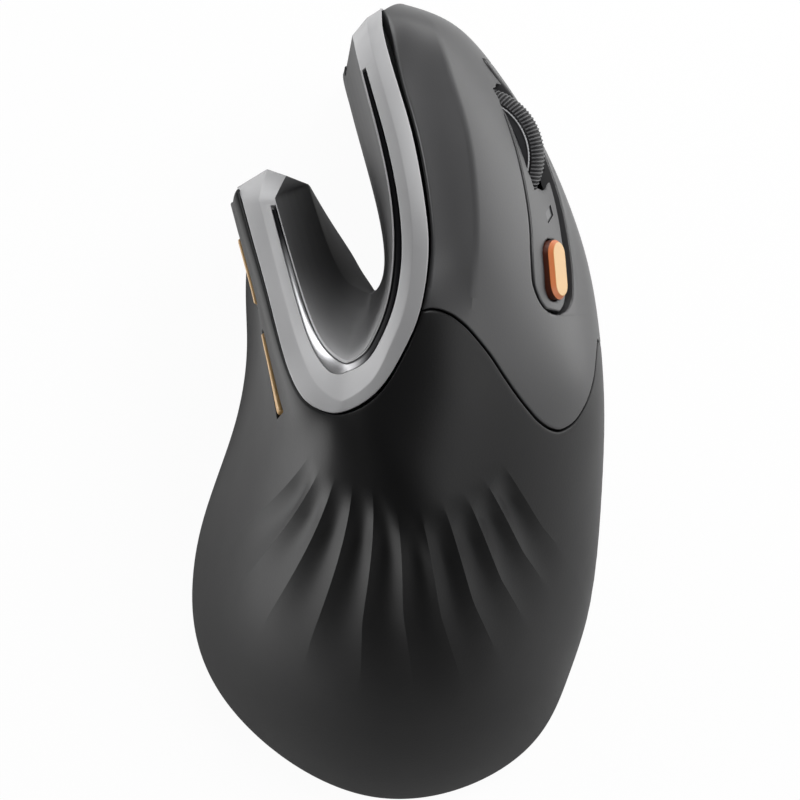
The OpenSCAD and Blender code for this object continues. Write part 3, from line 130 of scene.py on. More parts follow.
# Station of the plate's rear seam at each share of the way down.
PLATE_SEAM = [(0, 13.06), (0.023, 13.14), (0.051, 13.16), (0.083, 13.14), (0.136, 13.03), (0.19, 12.85),
    (0.242, 12.66), (0.302, 12.41), (0.359, 12.2), (0.419, 12.03), (0.472, 11.93), (0.506, 11.91), (0.539, 11.93),
    (0.593, 12.09), (0.657, 12.45), (0.717, 12.86), (0.767, 13.25), (0.8, 13.4), (1, 13.4)]
PLEAT_TOP = [(6, 0.2), (7.9, 0.215), (8.5, 0.26), (9.3, 0.3), (10.7, 0.39)]
# Shares across the trim's top: its ridge and the groove's edges.
RIDGE_LINE = [(0, 0.5), (4, 0.42), (7.5, 0.22), (10, 0.3), (11.5, 0.4), (14, 0.44), (19, 0.48)]
GROOVE_OUT = [(0, 0.81), (3, 0.74), (5.5, 0.68), (7.5, 0.78), (11, 0.74), (14, 0.73), (17.6, 0.81), (19, 0.81)]
GROOVE_IN = [(0, 0.965), (3, 0.945), (8, 0.95), (19, 0.955)]
# Share of the key's gap along the seam.
TOP_GAP = [(12, 0.38), (13.5, 0.45), (14.2, 0.65), (15.5, 0.9), (17, 1), (19, 1.05)]
# Stations: the last one, the plate's seam, the keys' roots and their lean, the fronts of the slot and the
# strip, the last one free of the plate's curve, and where the gap beside the strip starts to close.
LAST_S, PLATE_S, ROOT_S, ROOT_LEAN = 19, 12, 13.5, 0.28
SLOT_FRONT_S, STRIP_FRONT_S, FREE_S, CLOSE_S = 16.5, 17.25, 10.7, 16.9
# Stations between which the groove and the side buttons lie.
GROOVE_S = (0.2, 17.6)
PADS_S = [(0.7, 2.3), (2.75, 4.75)]
# The pleats: the first crest, their pitch, their count, where they end, and how they lean.
PLEAT_FIRST, PLEAT_PITCH, PLEAT_COUNT = 6.09, 0.46, 10
PLEAT_LAST = PLEAT_FIRST + PLEAT_PITCH * PLEAT_COUNT
PLEAT_END = 0.74
PLEAT_LEAN, PLEAT_BEND = 0.29, [(6, 0.85), (7.4, 0.8), (8.3, 0.55), (11, 0.6)]
# Each nose's front edge as shares: at the seam, the ridge and the lip.
THUMB_OUTLINE = [[0.1315, 0.7770, 0.545], [0.1997, 0.8002, 0.538], [0.2434, 0.7926, 0.515]]
FINGER_OUTLINE = [[0.4679, 0.9844, 0.856], [0.4340, 0.9727, 0.8636], [0.4015, 0.9533, 0.8258]]
# Where the finger's nose starts, and how far the shell's point runs ahead of the first station.
FINGER_NOSE_S, SHELL_POINT = 18.4, 0.27


def smooth_up(x, table):
    """A smooth line through the table's points that never runs past them."""
    xs, ys = np.array(table, float).T
    h = np.diff(xs)
    d = np.diff(ys) / h
    m = np.concatenate([[d[0]], np.zeros(len(d) - 1), [d[-1]]])
    for i in range(1, len(d)):
        if d[i - 1] * d[i] > 0:
            a, b = 2 * h[i] + h[i - 1], h[i] + 2 * h[i - 1]
            m[i] = (a + b) / (a / d[i - 1] + b / d[i])
    x = np.clip(np.asarray(x, float), xs[0], xs[-1])
    i = np.clip(np.searchsorted(xs, x, "right") - 1, 0, len(h) - 1)
    u = (x - xs[i]) / h[i]
    v = 1 - u
    bend = u * v * h[i] * (m[i] * v - m[i + 1] * u)
    return ys[i] * v * v * (1 + 2 * u) + ys[i + 1] * u * u * (1 + 2 * v) + bend


def place(rows):
    """Places in millimetres from shares of the body's size."""
    return (np.array(rows, float) - [0.5, 0.5, 0]) * [BODY_W, BODY_L, BODY_H]


def on_base(rows):
    """Places on the base's edge."""
    return place([(x, y, BASE_SHARE) for x, y in rows])


class Guide:
    """A natural cubic spline through evenly spaced stations."""

    def __init__(self, rows, step=1.0):
        p = np.array(rows, float)
        n = len(p)
        m, rhs = np.eye(n), np.zeros_like(p)
        for i in range(1, n - 1):
            m[i, i - 1], m[i, i], m[i, i + 1] = 1, 4, 1
            rhs[i] = 6 * (p[i - 1] - 2 * p[i] + p[i + 1])
        self.p, self.m, self.step = p, np.linalg.solve(m, rhs), step

    def __call__(self, s):
        s = np.asarray(s, float) / self.step
        i = np.clip(np.floor(s).astype(int), 0, len(self.p) - 2)
        u = s - i
        if self.p.ndim == 2:
            u = u[..., None]
        v = 1 - u
        bend = self.m[i] * (v**3 - v) + self.m[i + 1] * (u**3 - u)
        return self.p[i] * v + self.p[i + 1] * u + bend / 6


INNER_STEP = LAST_S / (len(LIP_SHARE) - 1)
seam_at, shoulder_at = Guide(place(SEAM_SHARE)), Guide(place(SHOULDER_SHARE))
flank_at, skirt_at = Guide(place(FLANK_SHARE)), Guide(on_base(SKIRT_SHARE))
shoulder_pull, flank_pull = Guide(SHOULDER_PULL), Guide(FLANK_PULL)
lip_at, crease_at = Guide(place(LIP_SHARE), INNER_STEP), Guide(place(CREASE_SHARE), INNER_STEP)
foot_at = Guide(on_base(FOOT_SHARE), INNER_STEP)


def look_up(x, table):
    """Straight lines through the table's points."""
    return np.interp(x, [r[0] for r in table], [r[1] for r in table])


def ease(x):
    """A soft step from 0 to 1."""
    k = np.clip(x, 0, 1)
    return k * k * (3 - 2 * k)


def fade(x):
    """A straight fall from 1 at 0 to 0 at 1."""
    return np.clip(1 - np.asarray(x, float), 0, 1)


def unit(v):
    """Vectors of length one."""
    return v / np.linalg.norm(v, axis=-1, keepdims=True)


def skin(s, t, hug=1.0):
    """The plain skin from the seam (t 0) over the shoulder and the flank to the skirt (t 1)."""
    s, t = np.broadcast_arrays(np.asarray(s, float), np.asarray(t, float))
    u = t[..., None]
    v = 1 - u
    wa = 1 + (shoulder_pull(s)[..., None] - 1) * hug
    wb = 1 + (flank_pull(s)[..., None] - 1) * hug
    a, b, c, d = v**3, 3 * v * v * u * wa, 3 * v * u * u * wb, u**3
    return (seam_at(s) * a + shoulder_at(s) * b + flank_at(s) * c + skirt_at(s) * d) / (a + b + c + d)


def facing(s, t, hug=0.0, h=0.01):
    """Direction in which the skin faces."""
    s, t = np.broadcast_arrays(np.asarray(s, float), np.asarray(t, float))
    t0, t1 = np.maximum(t - h, 0), np.minimum(t + h, 1)
    return unit(np.cross(skin(s, t1, hug) - skin(s, t0, hug), skin(s + h, t, hug) - skin(s - h, t, hug)))


def inward(s, t):
    """Direction of a cover's wall, turning level at the skirt."""
    f = facing(s, t)
    one = np.ones_like(f[..., 0])
    return unit(f * np.stack([one, one, 1 - ease((np.asarray(t) - 0.85) / 0.15)], -1))


def pleat_lean(c, t):
    """How far a crest leans along the stations at a share of the way down the skin."""
    top = smooth_up(c, PLEAT_TOP)
    down = np.clip((t - top) / (PLEAT_END - top), 0, 1)
    return PLEAT_LEAN * fade(down / smooth_up(c, PLEAT_BEND)) ** 1.3


def pleat(c, t, depth):
    """Depth of the palm's scallops: sharp crests with hollows between them."""
    top = smooth_up(c, PLEAT_TOP)
    wide = np.clip((t - top) / (PLEAT_END - top), 0, 1)
    wave = np.abs(np.sin(np.pi * (c - PLEAT_FIRST) / PLEAT_PITCH))
    swell = ease(wide / 0.3) * ease((1 - wide) / 0.75)
    return np.where((c < PLEAT_FIRST) | (c > PLEAT_LAST), 0, -depth * wave * swell)


def row_share(r, s):
    """Share of the way down the skin of a grid row: 0 seam, 1 and 2 the strip, 3 the band, 4 skirt."""
    at = [0, CREASE_R, 1, 2, 3, 4]
    lines = [smooth_up(s, t) for t in (CREASE_LINE, HIGH_LINE, LOW_LINE, BAND_LINE)]
    k = [np.zeros_like(s), *lines, np.ones_like(s)]
    i = np.clip(np.searchsorted(at, r, "right") - 1, 0, 4)
    a, b, p, q = np.choose(i, k[:5]), np.choose(i, k[1:]), np.choose(i, at[:5]), np.choose(i, at[1:])
    return a + (b - a) * (r - p) / (q - p)


def plate_at(r):
    """Station of the finger plate's rear seam on a grid row."""
    s = np.full_like(r, 12.5)
    for _ in range(6):
        s = smooth_up(row_share(r, s), PLATE_SEAM)
    return s


def column_s(c, r):
    """Station of a grid column on a row; it follows the pleats, the plate's seam and the keys' roots."""
    plate = plate_at(r)
    root = ROOT_S + ROOT_LEAN * np.clip(r - 2, 0, 1)
    share = row_share(r, c)
    k = (c - FREE_S) / (PLATE_S - FREE_S)
    s = np.where(c <= FREE_S, c + pleat_lean(c, share) * ease(c - 5),
        FREE_S + (plate - FREE_S) * k + pleat_lean(FREE_S, share) * (1 - k))
    s = np.where(c > PLATE_S, plate + (root - plate) * (c - PLATE_S) / (ROOT_S - PLATE_S), s)
    s = np.where(c > ROOT_S, root + (STRIP_FRONT_S - root) * (c - ROOT_S) / (STRIP_FRONT_S - ROOT_S), s)
    return np.where(c > STRIP_FRONT_S, c, s)


def creased(points, s, t):
    """Flattens the skin between the seam and the long crease, so that the crease stands as an edge."""
    line = smooth_up(s, CREASE_LINE)
    k = np.clip(t / line, 0, 1)[..., None]
    a, b, c, d = CREASE_S
    much = np.where(t < line, ease((s - a) / (b - a)) * ease((d - s) / (d - c)), 0)[..., None]
    hollow = facing(s, line * 0.5) * CREASE_HOLLOW * np.sin(np.pi * k)
    chord = skin(s, 0 * t) * (1 - k) + skin(s, line) * k - hollow
    return points + (chord - points) * much


def top_play(c):
    """Gap between the finger panel and the seam."""
    return KEY_GAP * look_up(c, TOP_GAP)


def turn(tilt, yaw):
    """A tilt about Y, then a turn about Z, in degrees."""
    tilted = Matrix.Rotation(math.radians(tilt), 3, "Y")
    return np.array(Matrix.Rotation(math.radians(yaw), 3, "Z") @ tilted)


# Frames in which flat-built pieces sit: column vectors are their own X, Y and Z axes.
FINGER_AT, FINGER_TURN = skin(16.02, 0.6), turn(70, 23)
DPI_AT, DPI_TURN = skin(14.12, 0.5375), turn(60, 5)
LENS_AT, LENS_TURN = skin(14.98, 0.59), turn(64, 14)
AXLE_Z = WHEEL_PROUD - WHEEL_R


def to_frame(points, at, turned):
    """The object's millimetres as a frame's own."""
    return (np.asarray(points, float) - at) @ turned


def from_frame(points, at, turned):
    """A frame's own millimetres as the object's."""
    return np.asarray(points, float) @ turned.T + at


def near(a, b, n, low=False, high=False, tight=0.0):
    """Grid lines from a to b, closer together beside the ends that are seams."""
    g = list(np.linspace(a, b, n + 1))
    step = (b - a) / n
    close = [0.035, 0.09, 0.18, 0.34] if not tight else [tight * k for k in (0.12, 0.3, 0.6, 1.1)]
    extra = []
    if low:
        extra += [a + (k * step if not tight else k) for k in close]
    if high:
        extra += [b - (k * step if not tight else k) for k in close]
    return sorted(set(round(float(v), 6) for v in g + extra))


def join_lines(*parts):
    """Grid lines of several spans as one rising row."""
    return np.array(sorted(set(round(float(v), 6) for p in parts for v in p)))


def new_object(name, data):
    """A new object of the scene, at the origin."""
    obj = bpy.data.objects.new(name, data)
    bpy.context.scene.collection.objects.link(obj)
    return obj


def new_mesh(name, verts_mm, faces):
    """A mesh from points in millimetres."""
    mesh = bpy.data.meshes.new(name)
    mesh.from_pydata([tuple(v) for v in np.asarray(verts_mm, float) * 0.001], [], faces)
    return mesh


def soften(mesh, sharp):
    """Smooth shading, with an edge wherever two faces meet at more than the angle."""
    for p in mesh.polygons:
        p.use_smooth = True
    mesh.set_sharp_from_angle(angle=math.radians(sharp))


def link(name, verts_mm, faces, material, sharp=35.0):
    """A new piece from points in millimetres."""
    mesh = new_mesh(name, verts_mm, faces)
    mesh.validate()
    mesh.materials.append(material)
    soften(mesh, sharp)
    return new_object(name, mesh)


def ring_faces(rings, n):
    """Faces between closed rings of n points that follow one another."""
    return [(k * n + i, k * n + (i + 1) % n, (k + 1) * n + (i + 1) % n, (k + 1) * n + i)
        for k in range(rings - 1) for i in range(n)]


def end_faces(rings, n):
    """Faces that close the first and the last ring."""
    return [tuple(range(n - 1, -1, -1)), tuple(range((rings - 1) * n, rings * n))]


def apply_modifiers(obj):
    """Turns the object's modifiers into plain mesh."""
    deps = bpy.context.evaluated_depsgraph_get()
    mesh = bpy.data.meshes.new_from_object(obj.evaluated_get(deps))
    old = obj.data
    obj.modifiers.clear()
    obj.data = mesh
    bpy.data.meshes.remove(old)
    return obj


def cut_away(obj, *cutters, solver="EXACT"):
    """Cuts the cutters out of a piece and removes them."""
    for cutter in cutters:
        mod = obj.modifiers.new("cut", "BOOLEAN")
        mod.operation, mod.solver, mod.object = "DIFFERENCE", solver, cutter
    apply_modifiers(obj)
    soften(obj.data, 35)
    for cutter in cutters:
        mesh = cutter.data
        bpy.data.objects.remove(cutter)
        bpy.data.meshes.remove(mesh)


def wear(obj, body, slot, *nodes):
    """Puts a piece on its body and in place of the solids that it stands for; the slot is not used."""
    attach(obj, body)
    if nodes:
        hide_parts(*nodes)
    return obj


def panel(name, cols, rows, keep, shift, wall, material, flush=None, rounding=0.3, lift=0.0, depth=0.0, dip=None,
        creases=()):
    """A cover over part of the panel grid, with rounded edges wherever it ends in a seam."""
    c, r = np.meshgrid(cols, rows, indexing="ij")
    sx, sy = shift(c, r)
    s = np.clip(column_s(c, r) + sx / STATION_RUN, -SHELL_POINT, LAST_S)
    t = np.clip(row_share(r, s) + sy / DOWN_RUN, 0, 1)
    rise = lift(r) if callable(lift) else lift + 0 * c
    if depth:
        rise = rise + pleat(c, t, depth)
    out = creased(skin(s, t), s, t) + facing(s, t) * rise[..., None]
    inner = skin(s, t) - inward(s, t) * wall
    n, m = c.shape
    cm, rm = (c[:-1, :-1] + c[1:, 1:]) / 2, (r[:-1, :-1] + r[1:, 1:]) / 2
    on = keep(cm, rm)
    # Grid edges with a kept cell on one side only get a wall; those that aren't flush also get a rounding.
    lit = np.zeros((n + 1, m + 1), bool)
    lit[1:n, 1:m] = on
    sides, seams = [], []
    for i in range(n):
        for j in range(m - 1):
            if lit[i, j + 1] != lit[i + 1, j + 1]:
                sides.append(((i, j + 1), (i, j)) if lit[i + 1, j + 1] else ((i, j), (i, j + 1)))
    for i in range(n - 1):
        for j in range(m):
            if lit[i + 1, j] != lit[i + 1, j + 1]:
                sides.append(((i, j), (i + 1, j)) if lit[i + 1, j + 1] else ((i + 1, j), (i, j)))
    for a, b in sides:
        if flush is None or not flush((c[a] + c[b]) / 2, (r[a] + r[b]) / 2):
            seams.append((a, b))
    # Points along the seams, to find how far each point of the cover is from the nearest one.
    tree_points = []
    for a, b in seams:
        gap = np.linalg.norm(out[a] - out[b])
        k = max(2, int(gap / 0.08) + 1)
        tree_points += [out[a] + (out[b] - out[a]) * w for w in np.linspace(0, 1, k)]
    tree = kdtree.KDTree(len(tree_points))
    for k, p in enumerate(tree_points):
        tree.insert(p, k)
    tree.balance()
    normals = facing(s, t, 1.0)
    used = np.zeros((n, m), bool)
    used[:-1, :-1] |= on
    used[1:, :-1] |= on
    used[:-1, 1:] |= on
    used[1:, 1:] |= on
    index, verts = -np.ones((n, m), int), []
    for i, j in zip(*np.nonzero(used)):
        d = tree.find(out[i, j])[2] if tree_points else 9.0
        soft = rounding(c[i, j], r[i, j]) if callable(rounding) else rounding
        if dip is not None:
            d = min(d, dip(out[i, j]))
        low = soft - math.sqrt(max(0.0, soft**2 - (soft - d) ** 2)) if d < soft else 0.0
        index[i, j] = len(verts)
        verts.append(out[i, j] - normals[i, j] * low)
    back = len(verts)
    verts += [inner[i, j] for i, j in zip(*np.nonzero(used))]
    faces = []
    for i, j in zip(*np.nonzero(on)):
        a, b, e, d = index[i, j], index[i + 1, j], index[i + 1, j + 1], index[i, j + 1]
        faces += [(a, d, e, b), (a + back, b + back, e + back, d + back)]
    for a, b in sides:
        p, q = index[a], index[b]
        faces.append((p, q, q + back, p + back))
    obj = link(name, verts, faces, material)
    # The crests of the pleats and the long crease stay as edges.
    crest = {}
    for i, j in zip(*np.nonzero(used)):
        top = smooth_up(c[i, j], PLEAT_TOP)
        if any(abs(c[i, j] - v) < 1e-4 for v in creases) and top + 0.02 < t[i, j] < PLEAT_END - 0.06:
            crest[int(index[i, j])] = ("pleat", i)
        elif abs(r[i, j] - CREASE_R) < 1e-4 and CREASE_S[0] + 0.4 < s[i, j] < CREASE_S[3] - 0.3:
            crest[int(index[i, j])] = ("crease", j)
    for edge in obj.data.edges:
        a, b = edge.vertices
        if a in crest and crest[a] == crest.get(b):
            edge.use_edge_sharp = True
    return obj


def block(name, low, high, at, turned):
    """A closed block between two outlines with as many points, in one of the frames, used as a cutter."""
    n = len(low)
    return new_object(name, new_mesh(name, from_frame(low + high, at, turned), end_faces(2, n) + ring_faces(2, n)))


def prism(name, outline, low, high, at, turned):
    """A block over a flat outline."""
    return block(name, [(x, y, low) for x, y in outline], [(x, y, high) for x, y in outline], at, turned)


def drum(name, radius, width, at, turned, n=72):
    """A closed cylinder about the wheel's axle."""
    angles = np.linspace(0, 2 * math.pi, n, endpoint=False)
    low, high = ([(x, radius * math.cos(a), radius * math.sin(a) + AXLE_Z) for a in angles]
        for x in (-width / 2, width / 2))
    return block(name, low, high, at, turned)


def stadium(length, width, n=14):
    """Outline of a stadium along Y, anticlockwise."""
    r, h = width / 2, (length - width) / 2
    top = [(r * math.cos(a), h + r * math.sin(a)) for a in np.linspace(0, math.pi, n)]
    return top + [(-x, -y) for x, y in top]


def slot_cutters():
    """Cutters for the wheel's slot and for the wheel's own room."""
    width = WHEEL_W + 2 * SLOT_PLAY
    return [prism("slot_cutter", stadium(SLOT_L, width), -6, 6, FINGER_AT, FINGER_TURN),
        drum("wheel_cutter", WHEEL_R + SLOT_PLAY, width, FINGER_AT, FINGER_TURN)]


def outside(p, at, turned, length, width):
    """Distance outside a stadium along a frame's Y."""
    x, y = to_frame(p, at, turned)[:2]
    r = width / 2
    return max(0.0, math.hypot(x, max(0.0, abs(y) - (length / 2 - r))) - r)


def slot_distance(p):
    """Distance outside the wheel slot's outline."""
    return outside(p, FINGER_AT, FINGER_TURN, SLOT_L, WHEEL_W + 2 * SLOT_PLAY)


def button_distance(p):
    """Distance outside the resolution button's window."""
    return outside(p, DPI_AT, DPI_TURN, DPI_L + SLOT_PLAY, DPI_W + SLOT_PLAY)


# ---- Nodes and finishes ----


def node_group(kind, name, inputs, outputs):
    """A new node group with named sockets; returns it with its input and output nodes."""
    group = bpy.data.node_groups.new(name, kind)
    for way, sockets in (("INPUT", inputs), ("OUTPUT", outputs)):
        for label, sort, *value in sockets:
            socket = group.interface.new_socket(name=label, in_out=way, socket_type="NodeSocket" + sort)
            if value:
                socket.default_value = value[0]
    return group, group.nodes.new("NodeGroupInput"), group.nodes.new("NodeGroupOutput")


def set_inputs(tree, node, inputs):
    """Gives each input of a node a plain value or another node's output."""
    for name, value in inputs.items():
        if isinstance(value, bpy.types.NodeSocket):
            tree.links.new(value, node.inputs[name])
        else:
            node.inputs[name].default_value = value


def add_node(tree, kind, inputs=None, **settings):
    """A new node with its settings and inputs."""
    node = tree.nodes.new(kind)
    for name, value in settings.items():
        setattr(node, name, value)
    set_inputs(tree, node, inputs or {})
    return node


def fine_grain_group():
    """Moulded or sprayed grain: a height for bump and a slow mask for uneven sheen."""
    if "Fine grain" in bpy.data.node_groups:
        return bpy.data.node_groups["Fine grain"]
    group, start, end = node_group("ShaderNodeTree", "Fine grain",
        [("Vector", "Vector"), ("Grain scale", "Float", 3000.0), ("Cloud scale", "Float", 60.0)],
        [("Height", "Float"), ("Cloud", "Float")])
    where, grain = start.outputs["Vector"], start.outputs["Grain scale"]
    fine = add_node(group, "ShaderNodeTexNoise", {"Vector": where, "Scale": grain, "Detail": 2.0})
    cells = add_node(group, "ShaderNodeTexVoronoi", {"Vector": where, "Scale": grain})
    cloud = add_node(group, "ShaderNodeTexNoise",
        {"Vector": where, "Scale": start.outputs["Cloud scale"], "Detail": 3.0})
    height = add_node(group, "ShaderNodeMath",
        {0: cells.outputs["Distance"], 1: 0.5, 2: fine.outputs["Fac"]}, operation="MULTIPLY_ADD")
    set_inputs(group, end, {"Height": height.outputs[0], "Cloud": cloud.outputs["Fac"]})
    return group


def tint_group():
    """Two tones of one colour, mixed by a mask."""
    if "Two tones" in bpy.data.node_groups:
        return bpy.data.node_groups["Two tones"]
    group, start, end = node_group("ShaderNodeTree", "Two tones",
        [("Mask", "Float", 0.5), ("Low", "Color", (0.1, 0.1, 0.1, 1)), ("High", "Color", (0.2, 0.2, 0.2, 1))],
        [("Color", "Color")])
    span = add_node(group, "ShaderNodeMapRange",
        {"Value": start.outputs["Mask"], "From Min": 0.3, "From Max": 0.7})
    mix = add_node(group, "ShaderNodeMix", {"Factor": span.outputs["Result"], "A": start.outputs["Low"],
        "B": start.outputs["High"]}, data_type="RGBA")
    set_inputs(group, end, {"Color": mix.outputs["Result"]})
    return group


def shade(colour, k):
    """A colour made lighter or darker."""
    return tuple(min(1.0, v * k) for v in colour[:3]) + (1.0,)


def moulded(name, colour, rough, grain=3000.0, bump=0.1, spread=0.12, vary=0.06, metallic=0.0, coat=0.0,
        coat_rough=0.1, specular=0.5, cloud=60.0):
    """A moulded, sprayed or plated finish with grain, uneven sheen and two close tones."""
    mat = bpy.data.materials.new(name)
    mat.use_nodes = True
    tree = mat.node_tree
    where = add_node(tree, "ShaderNodeTexCoord")
    grained = add_node(tree, "ShaderNodeGroup", {"Vector": where.outputs["Object"], "Grain scale": grain,
        "Cloud scale": cloud}, node_tree=fine_grain_group())
    mask = grained.outputs["Cloud"]
    toned = add_node(tree, "ShaderNodeGroup", {"Mask": mask, "Low": shade(colour, 1 - vary),
        "High": shade(colour, 1 + vary)}, node_tree=tint_group())
    sheen = add_node(tree, "ShaderNodeMapRange", {"Value": mask, "From Min": 0.25, "From Max": 0.75,
        "To Min": rough * (1 - spread), "To Max": rough * (1 + spread)})
    relief = add_node(tree, "ShaderNodeBump",
        {"Strength": bump, "Distance": GRAIN_RISE, "Height": grained.outputs["Height"]})
    set_inputs(tree, tree.nodes["Principled BSDF"], {"Base Color": toned.outputs["Color"],
        "Roughness": sheen.outputs["Result"], "Normal": relief.outputs["Normal"], "Metallic": metallic,
        "Coat Weight": coat, "Coat Roughness": coat_rough, "Specular IOR Level": specular})
    return mat


def object_place(tree):
    """A finish's place on the object."""
    return next(x for x in tree.nodes if x.bl_idname == "ShaderNodeTexCoord").outputs["Object"]


def laid_over(mat, colour, share):
    """Lays another colour over a finish's own, by a share that changes over the surface."""
    tree = mat.node_tree
    bsdf = tree.nodes["Principled BSDF"]
    mix = add_node(tree, "ShaderNodeMix", {"Factor": share, "A": bsdf.inputs["Base Color"].links[0].from_socket,
        "B": shade(colour, 1)}, data_type="RGBA")
    set_inputs(tree, bsdf, {"Base Color": mix.outputs["Result"]})


def board_finish(name):
    """Green solder mask over copper tracks, with a faint weave under it."""
    mat = moulded(name, (0.012, 0.11, 0.045), 0.35, 4000, 0.1, 0.1, 0.08, coat=0.4, coat_rough=0.15)
    tree = mat.node_tree
    tracks = add_node(tree, "ShaderNodeTexBrick", {"Vector": object_place(tree), "Scale": 260.0,
        "Mortar Size": 0.03, "Color1": (0, 0, 0, 1), "Color2": (0, 0, 0, 1), "Mortar": (1, 1, 1, 1)})
    edge = add_node(tree, "ShaderNodeMapRange", {"Value": tracks.outputs["Color"]})
    laid_over(mat, (0.02, 0.2, 0.08), edge.outputs["Result"])
    return mat


def lens_finish(name):
    """Clear plastic."""
    mat = moulded(name, (0.86, 0.9, 0.93), 0.06, 900, 0.01, 0.2, 0.02)
    set_inputs(mat.node_tree, mat.node_tree.nodes["Principled BSDF"], {"Transmission Weight": 0.9, "IOR": 1.49})
    return mat


def painted_by_place(mat, colour, spans):
    """Turns a finish to another colour between places along the object's axes, which paints light and shade by
    place; returns the share.
    """
    tree = mat.node_tree
    split = add_node(tree, "ShaderNodeSeparateXYZ", {"Vector": object_place(tree)})
    shares = [add_node(tree, "ShaderNodeMapRange", {"Value": split.outputs[axis], "From Min": low,
        "From Max": high}, interpolation_type="SMOOTHSTEP").outputs["Result"] for axis, low, high in spans]
    both = {0: shares[0], 1: shares[1] if len(shares) > 1 else 1.0}
    share = add_node(tree, "ShaderNodeMath", both, operation="MULTIPLY").outputs[0]
    laid_over(mat, colour, share)
    return share


def wall_finish(name):
    """The fork's inner wall in a darker copy of the trim's colour: painted shade between the prongs, lightened by
    painted light towards the bend.
    """
    look = bpy.context.scene.mouse_finish
    # Painted shade: the trim's colour at a fifth, brought up by painted light to four fifths at the bend.
    mat = moulded(name, shade(look.trim, 0.2), 0.5, 4200, 0.1, 0.1, 0.05, specular=0.1, cloud=60)
    painted_by_place(mat, shade(look.trim, 0.8), (("Y", 0.024, 0.008),))
    return mat


def accent_finish(name):
    """Gloss black with silver and metal laid on by place along the thumb side and round the bend, a painted
    reflection.
    """
    look = bpy.context.scene.mouse_finish
    mat = moulded(name, look.accent, 0.34, 900, 0.02, 0.15, 0.05, specular=0.05, cloud=60)
    # Painted reflection: silver colour and full metal laid on by place.
    share = painted_by_place(mat, (0.42, 0.42, 0.43), (("X", -0.0035, -0.008), ("Y", 0.0275, 0.016)))
    set_inputs(mat.node_tree, mat.node_tree.nodes["Principled BSDF"], {"Metallic": share})
    return mat


# Plain finishes. A colour that is a name is one of the panel's colours, times makes it lighter, and spread
# and vary are how far the roughness and the tone wander.
FINISHES = {
    "soft touch shell": dict(colour="shell", rough=0.42, grain=2600, bump=0.16, spread=0.08, vary=0.05,
        specular=0.2, cloud=45),
    "satin finger panel": dict(colour="panel", rough=0.4, grain=3400, bump=0.12, spread=0.08, vary=0.04,
        specular=0.45, cloud=50),
    "gunmetal trim": dict(colour="trim", rough=0.48, grain=5200, spread=0.1, vary=0.05, metallic=0.1,
        specular=0.4, cloud=80),
    # The tread's ribs are its rubber made four times lighter, a painted highlight.
    "tread rib": dict(colour="rubber", times=4, rough=0.38, grain=2200, bump=0.2, spread=0.1, vary=0.1,
        specular=0.45, cloud=150),
    "tread rubber": dict(colour="rubber", rough=0.5, grain=2200, bump=0.35, spread=0.1, vary=0.1,
        specular=0.1, cloud=150),
    "orange button": dict(colour="orange", rough=0.42, grain=3600, bump=0.08, spread=0.1, vary=0.04),
    # Painted shade on the resolution button: a darker orange for its bevel and the dark orange of a shadow for its
    # skirt.
    "orange bevel": dict(colour=(0.36, 0.09, 0.014), rough=0.4, grain=3600, bump=0.08, spread=0.1),
    "orange shade": dict(colour=(0.06, 0.012, 0.004), rough=0.5, spread=0.1, vary=0.08),
    "polished rim": dict(colour=(0.16, 0.16, 0.165), rough=0.34, grain=2500, bump=0.03, spread=0.2, vary=0.04,
        metallic=1.0),
    "hub plastic": dict(colour=(0.02, 0.02, 0.022), rough=0.4, grain=2200, bump=0.12),
    "base moulding": dict(colour=(0.022, 0.022, 0.023), rough=0.6, grain=1800, bump=0.5, spread=0.1, vary=0.08),
    "glide foot": dict(colour=(0.62, 0.62, 0.6), rough=0.4, grain=1500, bump=0.05, spread=0.1, vary=0.04),
    "inner moulding": dict(colour=(0.006, 0.006, 0.0065), rough=0.7, grain=1500, bump=0.3, spread=0.1, vary=0.1,
        specular=0.2),
    "screw steel": dict(colour=(0.45, 0.45, 0.47), rough=0.3, grain=2800, spread=0.25, metallic=1.0),
    "chip package": dict(colour=(0.018, 0.018, 0.02), rough=0.5, grain=2600, bump=0.2, spread=0.1, vary=0.1),
    "smoked window": dict(colour=(0.03, 0.031, 0.033), rough=0.3, grain=900, bump=0.02, spread=0.1, vary=0.05),
    "ribbon film": dict(colour=(0.55, 0.27, 0.05), rough=0.3, grain=900, bump=0.05, spread=0.15, vary=0.08,
        coat=0.5),
    "cell wrap": dict(colour=(0.42, 0.44, 0.46), rough=0.35, grain=700, bump=0.15, spread=0.2, vary=0.08,
        metallic=0.7),
    "switch housing": dict(colour=(0.02, 0.02, 0.022), rough=0.45, grain=2400, bump=0.15),
    "plunger white": dict(colour=(0.6, 0.6, 0.58), rough=0.4, grain=2400, bump=0.08),
    "encoder blue": dict(colour=(0.02, 0.07, 0.16), rough=0.45, grain=2400, bump=0.12),
}
OWN_FINISHES = {"fork wall": wall_finish, "gloss accent": accent_finish, "board mask": board_finish,
    "clear lens": lens_finish}


def finish(name):
    """The finish of that name, made when first asked for."""
    if name in bpy.data.materials:
        return bpy.data.materials[name]
    if name in OWN_FINISHES:
        return OWN_FINISHES[name](name)
    recipe = dict(FINISHES[name])
    colour = recipe.pop("colour")
    if isinstance(colour, str):
        colour = getattr(bpy.context.scene.mouse_finish, colour)
    return moulded(name, shade(colour, recipe.pop("times", 1)), **recipe)


# ---- Pieces ----

